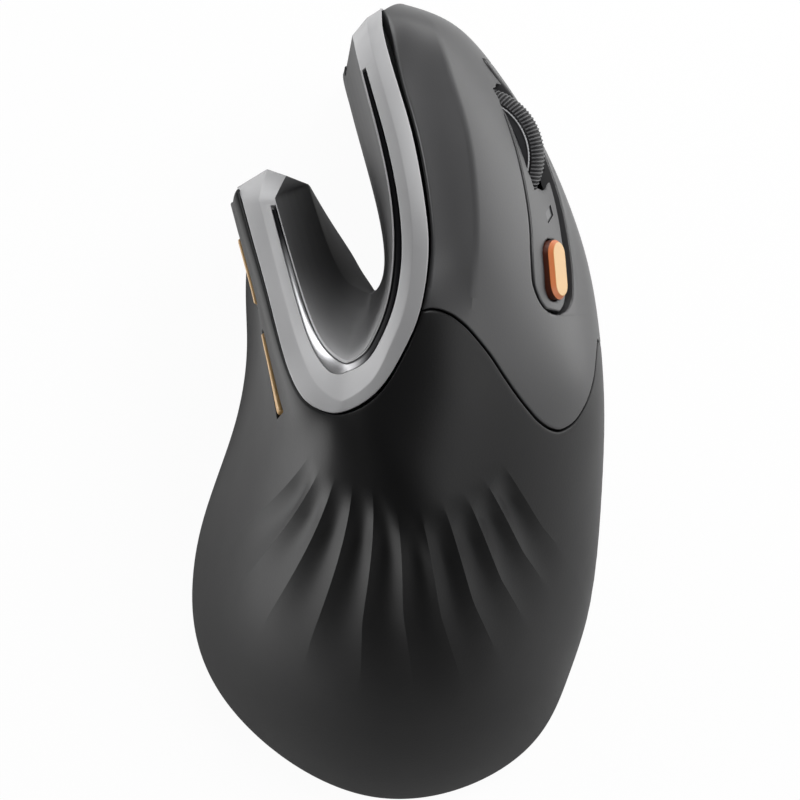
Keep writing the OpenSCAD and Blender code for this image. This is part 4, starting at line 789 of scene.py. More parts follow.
# Columns and rows of the panel grid, closer together beside its seams.
COLS_THUMB = join_lines(near(0, 0.7, 5, True, True, 0.05), near(0.7, 2.3, 12, True, True, 0.05),
    near(2.3, 2.75, 4, True, True, 0.05), near(2.75, 4.75, 16, True, True, 0.05),
    near(4.75, 5.65, 8, True, False, 0.05), near(5.65, PLEAT_FIRST, 5))
COLS_FAN = np.linspace(PLEAT_FIRST, PLEAT_LAST, PLEAT_COUNT * 16 + 1)
ROWS_RIM = join_lines(near(0, CREASE_R, 12, True, False, 0.03), near(CREASE_R, 1, 15, False, True, 0.03))
ROWS_STRIP = near(1, 2, 18, True, True, 0.05)
ROWS_SIDE = near(2, 3, 18, True, True, 0.04)
ROWS_BAND = near(3, 4, 12, True, True, 0.06)
ROWS_ALL = join_lines(ROWS_RIM, ROWS_STRIP, ROWS_SIDE, ROWS_BAND)


def in_pad(c, r):
    """Where the side buttons' windows are in the panel grid."""
    hit = np.zeros(c.shape, bool)
    for a, b in PADS_S:
        hit |= (c > a) & (c < b)
    return hit & (r > 1) & (r < 2)


def everywhere(c, r):
    """A whole panel grid."""
    return np.ones_like(c + r, bool)


def make_shell():
    """The palm and thumb shell, with its pleats, its point and the side buttons' windows."""
    cols = join_lines(COLS_THUMB, COLS_FAN, near(PLEAT_LAST, PLATE_S, 14, False, True, 0.03),
        near(PLATE_S, ROOT_S, 12, True), near(ROOT_S, LAST_S, 44, False, True, 0.05))

    def shift(c, r):
        sx = np.where((c <= PLATE_S) & (r <= 3), -SEAM_GAP / 2 * fade((PLATE_S - c) / 0.3), 0)
        point = fade(row_share(r, np.zeros_like(c)) / 0.1)
        sx = sx - SHELL_POINT * STATION_RUN * point * fade(c / 0.7)
        sy = (SEAM_GAP * fade(r / 0.3) * fade(c - PLATE_S)
            + np.where((c >= PLATE_S) & (r >= 3), SEAM_GAP / 2 * fade((r - 3) / 0.3), 0))
        return sx, sy

    obj = panel("shell_cover", cols, ROWS_ALL, lambda c, r: ((c < PLATE_S) | (r > 3)) & ~in_pad(c, r), shift,
        SHELL_WALL, finish("soft touch shell"), depth=1000 * bpy.context.scene.mouse_sizes.pleat_depth,
        creases=np.linspace(PLEAT_FIRST, PLEAT_LAST, PLEAT_COUNT + 1))
    wear(obj, HOUSING, "soft_shell", "main_shell")


def front_gap(c):
    """Half of the gap along the strip's outer line, which closes to a thin seam ahead of the wheel."""
    return SEAM_GAP * 0.4 + (KEY_GAP - SEAM_GAP * 0.8) / 2 * ease((CLOSE_S - c) / 0.6)


def make_finger_panel():
    """The finger plate, the left and right keys, and the strip between them."""
    mat = finish("satin finger panel")
    rows = np.array([r for r in ROWS_ALL if r <= 3])

    def plate_shift(c, r):
        sx = SEAM_GAP / 2 * fade((c - PLATE_S) / 0.3)
        return sx, top_play(c) * fade(r / 0.3) - SEAM_GAP / 2 * fade((3 - r) / 0.3)

    plate = panel("finger_plate_cover", near(PLATE_S, ROOT_S, 26, True, True, 0.04), rows, everywhere,
        plate_shift, PANEL_WALL, mat, flush=lambda c, r: c > ROOT_S - 0.01 and not 1 < r < 2)
    wear(plate, HOUSING, "finger_panel", "finger_plate")

    def left_shift(c, r):
        tip = np.where(c > STRIP_FRONT_S, 1, 0)
        sx = np.where((r > 1) & (r <= 2), SEAM_GAP / 2 * fade((c - SLOT_FRONT_S) / 0.2), 0)
        sx = sx + np.where(r > 2, SEAM_GAP / 2 * fade((c - STRIP_FRONT_S) / 0.2), 0)
        sx = sx - SEAM_GAP / 2 * fade((LAST_S - c) / 0.2)
        sy = top_play(c) * fade(r / 0.3)
        sy = sy - np.where((r <= 1) & (c < SLOT_FRONT_S), SEAM_GAP / 2, 0) * fade((1 - r) / 0.2)
        sy = sy - np.where((r > 1) & (r <= 2) & (c < STRIP_FRONT_S), front_gap(c), 0) * fade((2 - r) / 0.2)
        return sx, sy - SEAM_GAP / 2 * fade((3 - r) / 0.3) * tip

    cols = join_lines(near(ROOT_S, SLOT_FRONT_S, 54, True, True, 0.04),
        near(SLOT_FRONT_S, STRIP_FRONT_S, 14, True, True, 0.04),
        near(STRIP_FRONT_S, LAST_S, 26, True, True, 0.04))
    left = panel("left_key_cover", cols, rows,
        lambda c, r: (r < 1) | ((r < 2) & (c > SLOT_FRONT_S)) | (c > STRIP_FRONT_S), left_shift, PANEL_WALL, mat,
        flush=lambda c, r: c < ROOT_S + 0.01, rounding=lambda c, r: 0.14 if c > 16.3 and r > 0.9 else 0.45,
        dip=slot_distance)
    cut_away(left, *slot_cutters())
    wear(left, "left_key", "finger_panel", "left_key")

    def right_shift(c, r):
        shadow = STRIP_SHADOW * ease((c - ROOT_S) / 0.3) * ease((CLOSE_S - c) / 1.2)
        open_edge = (front_gap(c) + shadow) * fade((r - 2) / 0.3)
        sx = -SEAM_GAP / 2 * fade((STRIP_FRONT_S - c) / 0.2)
        return sx, open_edge - SEAM_GAP / 2 * fade((3 - r) / 0.3)

    right = panel("right_key_cover", join_lines(near(ROOT_S, STRIP_FRONT_S, 60, True, True, 0.04)),
        np.array(ROWS_SIDE), everywhere, right_shift, PANEL_WALL, mat,
        flush=lambda c, r: c < ROOT_S + 0.01, lift=lambda r: STRIP_STEP * ease((2.5 - r) / 0.5))
    wear(right, "right_key", "finger_panel", "right_key")

    def strip_shift(c, r):
        return (KEY_GAP / 2 * fade((c - ROOT_S) / 0.3) - SEAM_GAP / 2 * fade((SLOT_FRONT_S - c) / 0.2),
            SEAM_GAP / 2 * fade((r - 1) / 0.2) - KEY_GAP / 2 * fade((2 - r) / 0.2))

    strip = panel("centre_strip_cover", near(ROOT_S, SLOT_FRONT_S, 110, True, True, 0.03),
        near(1, 2, 40, True, True, 0.03), everywhere, strip_shift, PANEL_WALL, mat,
        dip=lambda p: min(slot_distance(p), button_distance(p)))
    lens = [(-1.3, -1.4), (1.3, -0.28), (1.3, 1.4), (-1.3, 0.28)]
    cut_away(strip, *slot_cutters(),
        prism("button_cutter", stadium(DPI_L + SLOT_PLAY, DPI_W + SLOT_PLAY), -4, 4, DPI_AT, DPI_TURN),
        prism("lens_cutter", lens, -4, 4, LENS_AT, LENS_TURN))
    wear(strip, HOUSING, "finger_panel", "centre_strip")


def make_side_buttons():
    """The forward and back buttons, each with a gap all round in its window."""
    rise = 0.62 * 1000 * bpy.context.scene.mouse_sizes.side_rise
    for button, (a, b) in zip(("forward_button", "back_button"), PADS_S):

        def shift(c, r):
            return (BUTTON_GAP * 2.2 * (fade((c - a) / 0.5) - fade((b - c) / 0.5)),
                BUTTON_GAP * 2 * (fade((r - 1) / 0.4) - fade((2 - r) / 0.4)))

        cap = panel(button + "_cap", near(a, b, 16, True, True, 0.06), near(1, 2, 14, True, True, 0.07),
            everywhere, shift, PAD_WALL, finish("orange button"), rounding=0.45,
            lift=lambda r: rise * (1 - 1.1 * (r - 1)))
        wear(cap, button, "orange", button)


def band_at(s, k):
    """The trim's top face at a share of the way from the seam over the ridge to the lip."""
    a, b, kr = seam_at(s), lip_at(s), look_up(s, RIDGE_LINE)[..., None]
    k = np.asarray(k, float)[..., None] if np.ndim(k) else k
    ridge = a + (b - a) * kr + [0, 0, RIDGE_RISE]
    low = a + (ridge - a) * np.clip(k / kr, 0, 1)
    high = ridge + (b - ridge) * np.clip((k - kr) / (1 - kr), 0, 1)
    return np.where(k < kr, low, high)


def fillet(points, radii, n=3):
    """Rounds the corners of a profile, each point being a row of places along the trim."""
    out = [points[0]]
    for p, a, b, r in zip(points[1:-1], points[:-2], points[2:], radii):
        da, db = a - p, b - p
        la, lb = np.linalg.norm(da, axis=-1, keepdims=True), np.linalg.norm(db, axis=-1, keepdims=True)
        k = np.minimum(r, np.minimum(la, lb) * 0.45)
        p0, p1 = p + da / np.maximum(la, 1e-6) * k, p + db / np.maximum(lb, 1e-6) * k
        for u in np.linspace(0, 1, n + 1):
            out.append(p0 * (1 - u) ** 2 + 2 * p * u * (1 - u) + p1 * u * u)
    return out + [points[-1]]


def trim_profile(s):
    """Rows of the trim from the foot of the inner wall up to the seam."""
    lip, crease, foot, seam = lip_at(s), crease_at(s), foot_at(s), seam_at(s)
    hollow = np.stack([lip[:, 0] * 0.6 + crease[:, 0] * 0.4, lip[:, 1] * 0.6 + crease[:, 1] * 0.4,
        lip[:, 2] * 0.4 + crease[:, 2] * 0.6], -1)
    wall = [crease * (1 - u) ** 2 + 2 * hollow * u * (1 - u) + lip * u * u for u in np.linspace(0.2, 0.8, 4)]
    sink = GROOVE_DEPTH * ease((s - GROOVE_S[0]) / 0.08 + 0.5) * ease((GROOVE_S[1] - s) / 0.08 + 0.5)
    down = np.stack([0 * s, 0 * s, -sink], -1)
    g_in, g_out = band_at(s, look_up(s, GROOVE_IN)), band_at(s, look_up(s, GROOVE_OUT))
    ridge = band_at(s, look_up(s, RIDGE_LINE))
    legs = [foot * (1 - u) + crease * u for u in (0, 0.35, 0.7)]
    points = legs + [crease] + wall + [lip, g_in, g_in + down, g_out + down, g_out, ridge, seam, seam - [0, 0, 1.1]]
    radii = [0.05, 0.05, 0.5, 0.05, 0.05, 0.05, 0.05, 0.22, 0.12, 0.1, 0.1, 0.14, 0.2, 0.25]
    return fillet(points, radii)


# Rows of the rounded profile on which the inner wall's crease, the lip, the ridge and the seam lie.
CREASE_ROW, LIP_ROW, RIDGE_ROW, SEAM_ROW = 11, 31, 51, 55
# Steps in which the profile is drawn forward to a nose, closer together towards the nose's edge.
NOSE_STEPS = (0, 0.15, 0.3, 0.45, 0.6, 0.74, 0.86, 0.94, 1)
# The trim sheet's thickness and the distances under which its points merge and its slivers go, in metres.
TRIM_SHEET, MERGE, SLIVER = 0.00025, 0.000008, 0.000004
# The charging port's window in the finger nose: its middle, its size and its reach along Y, in millimetres.
PORT_AT, PORT_L, PORT_W, PORT_REACH = (-2.867, 0, 12.3), 9.4, 3.6, (-64, -40)
PORT_TURN = np.array([[1, 0, 0], [0, 0, -1], [0, 1, 0]], float)


def sheet_faces(n, m, start):
    """Faces of an open net of n lines with m points each."""
    return [(start + i * m + j, start + i * m + j + 1, start + (i + 1) * m + j + 1, start + (i + 1) * m + j)
        for i in range(n - 1) for j in range(m - 1)]


def nose_sheets(start, tip_s, outline, wall):
    """A prong's nose: the profile drawn forward to the nose's outline, then down to the base."""
    profile = [r[0] for r in trim_profile(np.array([start]))]
    tip = [r[0] for r in trim_profile(np.array([tip_s]))]
    seam, ridge, lip = place(outline)
    marks = [(CREASE_ROW, tip[CREASE_ROW]), (LIP_ROW, lip), (RIDGE_ROW, ridge), (SEAM_ROW, seam)]
    target = tip[: CREASE_ROW + 1]
    for (a, p), (b, q) in zip(marks[:-1], marks[1:]):
        run = np.cumsum([np.linalg.norm(profile[k + 1] - profile[k]) for k in range(a, b)])
        target += [p + (q - p) * k / run[-1] for k in run]
    target += [seam + p - profile[SEAM_ROW] for p in profile[SEAM_ROW + 1:]]
    top = []
    for u in NOSE_STEPS:
        line = []
        for p, o in zip(profile, target):
            bend = p + (o - p) * [0.6, 0.6, 0.35]
            line.append(p * (1 - u) ** 2 + 2 * bend * u * (1 - u) + o * u * u)
        top.append(line)
    edge = target[CREASE_ROW: SEAM_ROW + 1]
    run = np.concatenate([[0], np.cumsum([np.linalg.norm(q - p) for p, q in zip(edge[:-1], edge[1:])])])
    right = tip[: CREASE_ROW + 1][::-1]
    fall = np.array([(right[0][2] - p[2]) / (right[0][2] - right[-1][2]) for p in right])
    left = skin(tip_s, 0.05 + 0.95 * fall) - inward(tip_s, 0.05 + 0.95 * fall) * wall
    left = left + (seam - left[0]) * (1 - ease(fall / 0.25))[:, None]
    front = []
    for k, v in enumerate(fall):
        line = []
        for o, w in zip(edge, run / run[-1]):
            chord = edge[-1] * w + edge[0] * (1 - w)
            line.append(left[k] * w + right[k] * (1 - w) + (o - chord) * (1 - 0.6 * v))
        front.append(line)
    return top, front


def make_trim():
    """The fork's trim as one sheet with both noses: metal above the lip, and below it the inner wall in a darker
    copy of the trim that paints shade.
    """
    steps = join_lines(np.linspace(0, FINGER_NOSE_S, 190),
        [s + d for s in GROOVE_S for d in (-0.04, -0.02, 0, 0.02, 0.04)])
    net = np.stack(trim_profile(steps), 1)
    n, m = net.shape[:2]
    verts, faces = [p for line in net for p in line], sheet_faces(n, m, 0)
    # Faces below the lip take the inner wall's finish, a darker copy of the trim that paints shade.
    dark = [j % (m - 1) < LIP_ROW - 1 for j in range(len(faces))]
    for start, tip_s, outline, wall, back in ((0.0, 0.0, THUMB_OUTLINE, SHELL_WALL + 0.25, True),
            (FINGER_NOSE_S, float(LAST_S), FINGER_OUTLINE, PANEL_WALL + 1.4, False)):
        for part, sheet in enumerate(nose_sheets(start, tip_s, outline, wall)):
            lines = sheet[::-1] if back else sheet
            more = sheet_faces(len(lines), len(lines[0]), len(verts))
            wide = len(lines[0]) - 1
            low = LIP_ROW - 1 if part == 0 else LIP_ROW - 1 - CREASE_ROW
            dark += [j % wide < low for j in range(len(more))]
            faces += more
            verts += [p for line in lines for p in line]
    obj = link("fork_trim_cover", verts, faces, finish("gunmetal trim"))
    obj.data.materials.append(finish("fork wall"))
    obj.data.polygons.foreach_set("material_index", [int(v) for v in dark])
    bm = bmesh.new()
    bm.from_mesh(obj.data)
    bmesh.ops.remove_doubles(bm, verts=bm.verts, dist=MERGE)
    bmesh.ops.dissolve_degenerate(bm, edges=bm.edges, dist=SLIVER)
    bm.to_mesh(obj.data)
    bm.free()
    thick = obj.modifiers.new("wall", "SOLIDIFY")
    thick.thickness, thick.offset, thick.use_even_offset = TRIM_SHEET, -1, False
    apply_modifiers(obj)
    cut_away(obj, prism("port_cutter", stadium(PORT_L, PORT_W), *PORT_REACH, np.array(PORT_AT), PORT_TURN),
        solver="MANIFOLD")
    wear(obj, HOUSING, "trim_grey", "fork_trim", "thumb_nose", "finger_nose")


# The inlay: its gap in the groove, how far its edges and its foot lie below the band, and its crown.
INLAY_GAP, INLAY_EDGE, INLAY_FOOT, INLAY_CROWN = 0.06, -0.42, -GROOVE_DEPTH + 0.08, 0.12


def make_accent():
    """The inlay in the trim's groove."""
    steps = join_lines(np.linspace(GROOVE_S[0] + 0.06, GROOVE_S[1] - 0.05, 180))
    g_in, g_out = band_at(steps, look_up(steps, GROOVE_IN)), band_at(steps, look_up(steps, GROOVE_OUT))
    across = unit(g_out - g_in)
    a, b = g_in + across * INLAY_GAP, g_out - across * INLAY_GAP
    top, low = np.array([0, 0, INLAY_EDGE]), np.array([0, 0, INLAY_FOOT])
    mid = (a + b) / 2 + [0, 0, INLAY_CROWN]
    net = np.stack(fillet([a + low, a + top, mid + top, b + top, b + low], [0.15, 0.6, 0.15]), 1)
    n, m = net.shape[:2]
    obj = link("accent_inlay", net.reshape(-1, 3), ring_faces(n, m) + end_faces(n, m), finish("gloss accent"))
    wear(obj, HOUSING, "gloss_accent", "accent_strip")


# The rail: its stations, depth below the seam, way to the side, half width and height.
RAIL_S, RAIL_DROP, RAIL_ASIDE, RAIL_HALF, RAIL_T = (13.3, 18.93), 2.6, 0.4, 1.5, 0.9


def make_slot_liner():
    """The dark rail that shows at the bottom of the slot between the finger prong and the key."""
    steps = np.linspace(*RAIL_S, 70)
    path = seam_at(steps) + [0, 0, -RAIL_DROP]
    along = unit(np.gradient(path, axis=0) * [1, 1, 0])
    side = np.stack([along[:, 1], -along[:, 0], 0 * steps], -1)
    end = np.linalg.norm(path - path[-1], axis=1)
    half = RAIL_HALF * np.sqrt(np.clip(1 - np.clip(1 - end / RAIL_HALF, 0, 1) ** 2, 0.01, 1))[:, None]
    left, right = (path + side * RAIL_ASIDE + side * half * k for k in (-1, 1))
    net = np.stack([left, right, right - [0, 0, RAIL_T], left - [0, 0, RAIL_T]], 1)
    n = len(steps)
    obj = link("slot_liner", net.reshape(-1, 3), ring_faces(n, 4) + end_faces(n, 4), finish("inner moulding"))
    wear(obj, HOUSING, "inner_black")


def make_dpi_button():
    """The button's cap: a skirt in the dark orange of a painted shadow, a bevel that leans in, painted a shade
    darker than the top, and a pale top.
    """
    rise = 1000 * bpy.context.scene.mouse_sizes.resolution_rise
    low, high = stadium(DPI_L, DPI_W, 22), stadium(DPI_L - 0.9, DPI_W - 1.15, 22)
    top = [(x * 0.95, y * 0.98) for x, y in high]
    # Outlines from the foot to the top: outline, height, and how far it lies aside and forward.
    levels = [(low, -DPI_BODY, 0, 0), (low, rise - 0.5, 0, 0), (low, rise - 0.42, 0.03, 0),
        (high, rise - 0.05, 0.35, 0.06), (top, rise, 0.35, 0.06)]
    pts = [(x + dx, y + dy, z) for line, z, dx, dy in levels for x, y in line]
    n = len(low)
    faces = ring_faces(len(levels), n) + end_faces(len(levels), n)
    obj = link("dpi_cap", from_frame(pts, DPI_AT, DPI_TURN), faces, finish("orange button"), 20)
    for look in ("orange bevel", "orange shade"):
        obj.data.materials.append(finish(look))
    # Painted shade: the skirt's ring and the base get the shadow's dark orange, the next two rings the darker bevel
    # orange, and the top the plain orange.
    for p in obj.data.polygons:
        p.material_index = 2 if p.index < n else 1 if p.index < 3 * n else 0
    obj.data.polygons[4 * n].material_index = 2
    wear(obj, "dpi_button", "orange", "dpi_button")


def ribs_tree():
    """Ribs across the tread, spaced evenly round the wheel's axle."""
    tree, start, end = node_group("GeometryNodeTree", "Tread ribs",
        [("Geometry", "Geometry"), ("Ribs", "Int"), ("Radius", "Float"), ("Width", "Float"),
            ("Crown", "Float"), ("Rib", "Float"), ("Rubber", "Material")], [("Geometry", "Geometry")])
    radius, crown, ribs = (start.outputs[name] for name in ("Radius", "Crown", "Ribs"))

    def worked(operation, first, second):
        return add_node(tree, "ShaderNodeMath", {0: first, 1: second}, operation=operation).outputs[0]

    def vector(*parts):
        return add_node(tree, "ShaderNodeCombineXYZ", dict(enumerate(parts))).outputs[0]

    half = worked("DIVIDE", start.outputs["Width"], 2.0)
    edge = worked("SUBTRACT", radius, crown)
    arc = add_node(tree, "GeometryNodeCurveQuadraticBezier", {"Resolution": 8,
        "Start": vector(worked("MULTIPLY", half, -1.0), 0.0, edge),
        "Middle": vector(0.0, 0.0, worked("ADD", radius, crown)), "End": vector(half, 0.0, edge)})
    ring = add_node(tree, "GeometryNodeCurvePrimitiveCircle", {"Resolution": 8, "Radius": start.outputs["Rib"]})
    tube = add_node(tree, "GeometryNodeCurveToMesh", {"Curve": arc.outputs["Curve"],
        "Profile Curve": ring.outputs["Curve"], "Fill Caps": True})
    spots = add_node(tree, "GeometryNodePoints", {"Count": ribs, "Position": (0, 0, 0)})
    index = add_node(tree, "GeometryNodeInputIndex")
    angle = worked("MULTIPLY", index.outputs[0], worked("DIVIDE", 2 * math.pi, ribs))
    turned = add_node(tree, "FunctionNodeEulerToRotation", {0: vector(angle, 0.0, 0.0)})
    placed = add_node(tree, "GeometryNodeInstanceOnPoints", {"Points": spots.outputs[0],
        "Instance": tube.outputs["Mesh"], "Rotation": turned.outputs[0]})
    real = add_node(tree, "GeometryNodeRealizeInstances", {0: placed.outputs["Instances"]})
    smooth = add_node(tree, "GeometryNodeSetShadeSmooth", {0: real.outputs[0]})
    paint = add_node(tree, "GeometryNodeSetMaterial",
        {"Geometry": smooth.outputs[0], "Material": start.outputs["Rubber"]})
    set_inputs(tree, end, {0: paint.outputs[0]})
    return tree


def run_tree(name, tree, values):
    """Runs a geometry node tree on an empty mesh and returns the result as a plain mesh object."""
    obj = new_object(name, bpy.data.meshes.new(name))
    mod = obj.modifiers.new("nodes", "NODES")
    mod.node_group = tree
    for item in tree.interface.items_tree:
        if item.item_type == "SOCKET" and item.in_out == "INPUT" and item.name in values:
            mod[item.identifier] = values[item.name]
    return apply_modifiers(obj)


def move_to(obj, at, turned, offset=(0, 0, 0)):
    """Places a mesh built about the origin, in metres, into one of the frames."""
    m = Matrix([list(row) + [0] for row in turned.tolist()] + [[0, 0, 0, 1]])
    m.translation = Vector(from_frame(np.array(offset), at, turned) * 0.001)
    obj.data.transform(m)
    obj.data.update()
    return obj


def spun(name, profile, material, n=96):
    """A closed solid of revolution about X from an (x, radius) profile in millimetres."""
    verts, faces = [], []
    k = len(profile)
    for i in range(n):
        a = 2 * math.pi * i / n
        verts += [(x, r * math.cos(a), r * math.sin(a)) for x, r in profile]
    for i in range(n):
        for j in range(k):
            p, q = i * k + j, ((i + 1) % n) * k + j
            p1, q1 = i * k + (j + 1) % k, ((i + 1) % n) * k + (j + 1) % k
            faces.append((p, p1, q1, q))
    obj = link(name, verts, faces, material)
    bm = bmesh.new()
    bm.from_mesh(obj.data)
    bmesh.ops.recalc_face_normals(bm, faces=bm.faces)
    bm.to_mesh(obj.data)
    bm.free()
    soften(obj.data, 40)
    return obj


# The tread's crown: shares of the half width, and the drop below the wheel's radius.
TREAD_CROWN = [(-1, 1.75), (-0.93, 1.4), (-0.6, 0.78), (-0.3, 0.5), (0, 0.42), (0.3, 0.5), (0.6, 0.78),
    (0.93, 1.4), (1, 1.75)]


def make_wheel():
    """The wheel's tread with its separate ribs, and on each side a dished face with a polished ring."""
    sizes = bpy.context.scene.mouse_sizes
    hub_r, half = WHEEL_R - TYRE_T, (WHEEL_W - 1.4) / 2
    tread = [(-half, hub_r)] + [(half * x, WHEEL_R - d) for x, d in TREAD_CROWN] + [(half, hub_r)]
    tyre = spun("wheel_tread", tread, finish("tread rubber"))
    ribs = run_tree("wheel_ribs", ribs_tree(), {"Ribs": sizes.tread_ribs, "Radius": (WHEEL_R - 0.36) * 0.001,
        "Width": (2 * half - 0.1) * 0.001, "Crown": 0.0011, "Rib": sizes.rib_radius,
        "Rubber": finish("tread rib")})
    for obj in (tyre, ribs):
        move_to(obj, FINGER_AT, FINGER_TURN, (0, 0, AXLE_Z))
        wear(obj, "wheel", "wheel_rubber")
    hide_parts("wheel_tyre")
    lip = WHEEL_R - 1.7
    for side, name in ((-1, "left"), (1, "right")):
        x0, x1 = side * half, side * WHEEL_W / 2
        face = spun("wheel_face_" + name, [(x0, 4.4), (x0, lip - 0.1), (x1 - side * 0.3, lip - 0.25),
            (x1 - side * 0.2, lip - 1.2), (x1 - side * 0.45, lip - 1.5), (x1 - side * 0.45, 5.4), (x1, 4.9),
            (x1, 4.4)], finish("hub plastic"))
        ring = spun("wheel_ring_" + name, [(x0 + side * 0.02, lip - 0.2), (x0 + side * 0.02, lip + 0.04),
            (x0 + side * 0.25, lip + 0.06), (x1 - side * 0.22, lip - 0.06), (x1 - side * 0.2, lip - 0.2)],
            finish("polished rim"))
        for obj in (face, ring):
            move_to(obj, FINGER_AT, FINGER_TURN, (0, 0, AXLE_Z))
            wear(obj, "wheel", "rim_chrome")
    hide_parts("wheel_rims")


# The finish of each slot's solids.
CAD_FINISH = {
    "soft_shell": "soft touch shell", "finger_panel": "satin finger panel", "smoked_lens": "smoked window",
    "trim_grey": "gunmetal trim", "gloss_accent": "gloss accent", "base_black": "base moulding",
    "foot_white": "glide foot", "inner_black": "inner moulding", "steel": "screw steel",
    "clear_lens": "clear lens", "chip": "chip package", "board": "board mask", "ribbon": "ribbon film",
    "cell": "cell wrap", "switch_black": "switch housing", "plunger_white": "plunger white",
    "wheel_rubber": "tread rubber", "hub_plastic": "hub plastic", "rim_chrome": "polished rim",
    "encoder_blue": "encoder blue", "orange": "orange button"}


def dress_cad_nodes():
    """Gives every solid the finish of its slot."""
    slots = {p["node"]: p["material_slot"] for p in frame["record"]["subparts"]}
    for node, obj in frame["nodes"].items():
        obj.data.materials.clear()
        obj.data.materials.append(finish(CAD_FINISH[slots[node]]))


# ---- Stage ----


def emission_floor(look):
    """A pale floor, white to the camera and dim in reflections, that keeps the object's shadow."""
    mat = bpy.data.materials.new("pale floor")
    mat.use_nodes = True
    tree = mat.node_tree
    tree.nodes.clear()
    path = add_node(tree, "ShaderNodeLightPath").outputs
    dim = add_node(tree, "ShaderNodeMath", {0: path["Is Glossy Ray"], 1: look.mirrored}, operation="MULTIPLY")
    most = add_node(tree, "ShaderNodeMath", {0: path["Is Camera Ray"], 1: dim.outputs[0]}, operation="MAXIMUM")
    part = add_node(tree, "ShaderNodeMath", {0: most.outputs[0], 1: look.whiteness}, operation="MULTIPLY")
    lit = add_node(tree, "ShaderNodeBsdfDiffuse", {"Color": (*look.floor, 1)})
    glow = add_node(tree, "ShaderNodeEmission", {"Color": (1, 1, 1, 1), "Strength": 1.0})
    mix = add_node(tree, "ShaderNodeMixShader", {"Fac": part.outputs[0], 1: lit.outputs[0], 2: glow.outputs[0]})
    add_node(tree, "ShaderNodeOutputMaterial", {"Surface": mix.outputs[0]})
    return mat


def soft_room(look):
    """A dim even room that the camera sees as white."""
    world = bpy.data.worlds.new("soft room")
    world.use_nodes = True
    tree = world.node_tree
    path = add_node(tree, "ShaderNodeLightPath")
    part = add_node(tree, "ShaderNodeMath",
        {0: path.outputs["Is Camera Ray"], 1: 1 - look.room, 2: look.room}, operation="MULTIPLY_ADD")
    set_inputs(tree, tree.nodes["Background"], {"Color": (1, 1, 1, 1), "Strength": part.outputs[0]})
    return world


def cove(radius, height, rounding, n=96):
    """A round floor that turns up into a low wall, as one sheet."""
    profile = [(0.4 * radius, 0), (0.8 * radius, 0)]
    profile += [(radius - rounding + rounding * math.sin(a), rounding - rounding * math.cos(a))
        for a in np.linspace(0, math.pi / 2, 12)]
    profile.append((radius, height))
    ring = [(math.cos(2 * math.pi * i / n), math.sin(2 * math.pi * i / n)) for i in range(n)]
    verts = [(0, 0, 0)] + [(r * x, r * y, z) for r, z in profile for x, y in ring]
    faces = [(0, 1 + i, 1 + (i + 1) % n) for i in range(n)]
    for k in range(len(profile) - 1):
        a, b = 1 + k * n, 1 + (k + 1) * n
        faces += [(a + i, b + i, b + (i + 1) % n, a + (i + 1) % n) for i in range(n)]
    mesh = bpy.data.meshes.new("floor")
    mesh.from_pydata(verts, [], faces)
    for p in mesh.polygons:
        p.use_smooth = True
    return mesh


def area_light(name, place_mm, aim_mm, size_mm, energy):
    """A soft rectangular light."""
    data = bpy.data.lights.new(name, "AREA")
    data.shape, data.size, data.size_y = "RECTANGLE", size_mm[0] * 0.001, size_mm[1] * 0.001
    data.energy = energy
    at, aim = Vector(place_mm) * 0.001, Vector(aim_mm) * 0.001
    new_object(name, data).matrix_world = (
        Matrix.Translation(at) @ (aim - at).to_track_quat("-Z", "Y").to_matrix().to_4x4())


# Each light: name, place, aim and size in millimetres, the setting with its power, and its share of it.
LIGHTS = [
    ("top light", (190, 200, 420), (0, 20, 30), (180, 180), "top", 1),
    ("front light", (20, 450, 160), (0, 40, 40), (420, 220), "front", 1),
    ("right card", (200, 150, 3), (200, 150, 60), (264, 300), "right", 1),
    ("right wall", (335, 90, 45), (0, 90, 45), (320, 90), "right", 0.36),
    ("rear light", (360, -150, 190), (10, -10, 35), (260, 200), "right", 1),
    ("left card", (-200, -20, 3), (-200, -20, 60), (264, 400), "left", 1),
    ("left wall", (-335, -40, 65), (0, -40, 65), (400, 130), "left", 0.6),
]
# The camera looks straight down from here, and sees this much of the base's plane across its frame.
CAMERA_AT, CAMERA_SPAN, CAMERA_SENSOR = (0.638, 1.950, 750.0), 128, 36.0


def make_stage():
    """The floor, the room, the lights and the camera."""
    scene = bpy.context.scene
    look = scene.mouse_stage
    scene.view_settings.view_transform = "Standard"
    scene.world = soft_room(look)
    floor = new_object("floor", cove(3.0, 0.12, 0.1))
    floor.data.materials.append(emission_floor(look))
    for name, at, aim, size, setting, share in LIGHTS:
        area_light(name, at, aim, size, getattr(look, setting) * share)
    data = bpy.data.cameras.new("photo camera")
    data.type, data.sensor_fit, data.sensor_width = "PERSP", "HORIZONTAL", CAMERA_SENSOR
    data.lens = CAMERA_SENSOR * CAMERA_AT[2] / CAMERA_SPAN
    data.clip_start, data.clip_end = 0.01, 20.0
    scene.camera = new_object("photo camera", data)
    scene.camera.location = Vector(CAMERA_AT) * 0.001


# ---- Add-on ----


def length_prop(name, description, default, low, high):
    """A length in metres."""
    return bpy.props.FloatProperty(name=name, description=description, subtype="DISTANCE", unit="LENGTH",
        precision=5, default=default, min=low, max=high)


def colour_prop(name, description, default):
    """A plain colour."""
    return bpy.props.FloatVectorProperty(name=name, description=description, subtype="COLOR", size=3,
        default=default, min=0, max=1)


def share_prop(name, description, default):
    """A share from 0 to 1."""
    return bpy.props.FloatProperty(name=name, description=description, subtype="FACTOR", default=default,
        min=0, max=1)


def power_prop(name, description, default):
    """A light's power in watts."""
    return bpy.props.FloatProperty(name=name, description=description, subtype="POWER", unit="POWER",
        default=default, min=0)


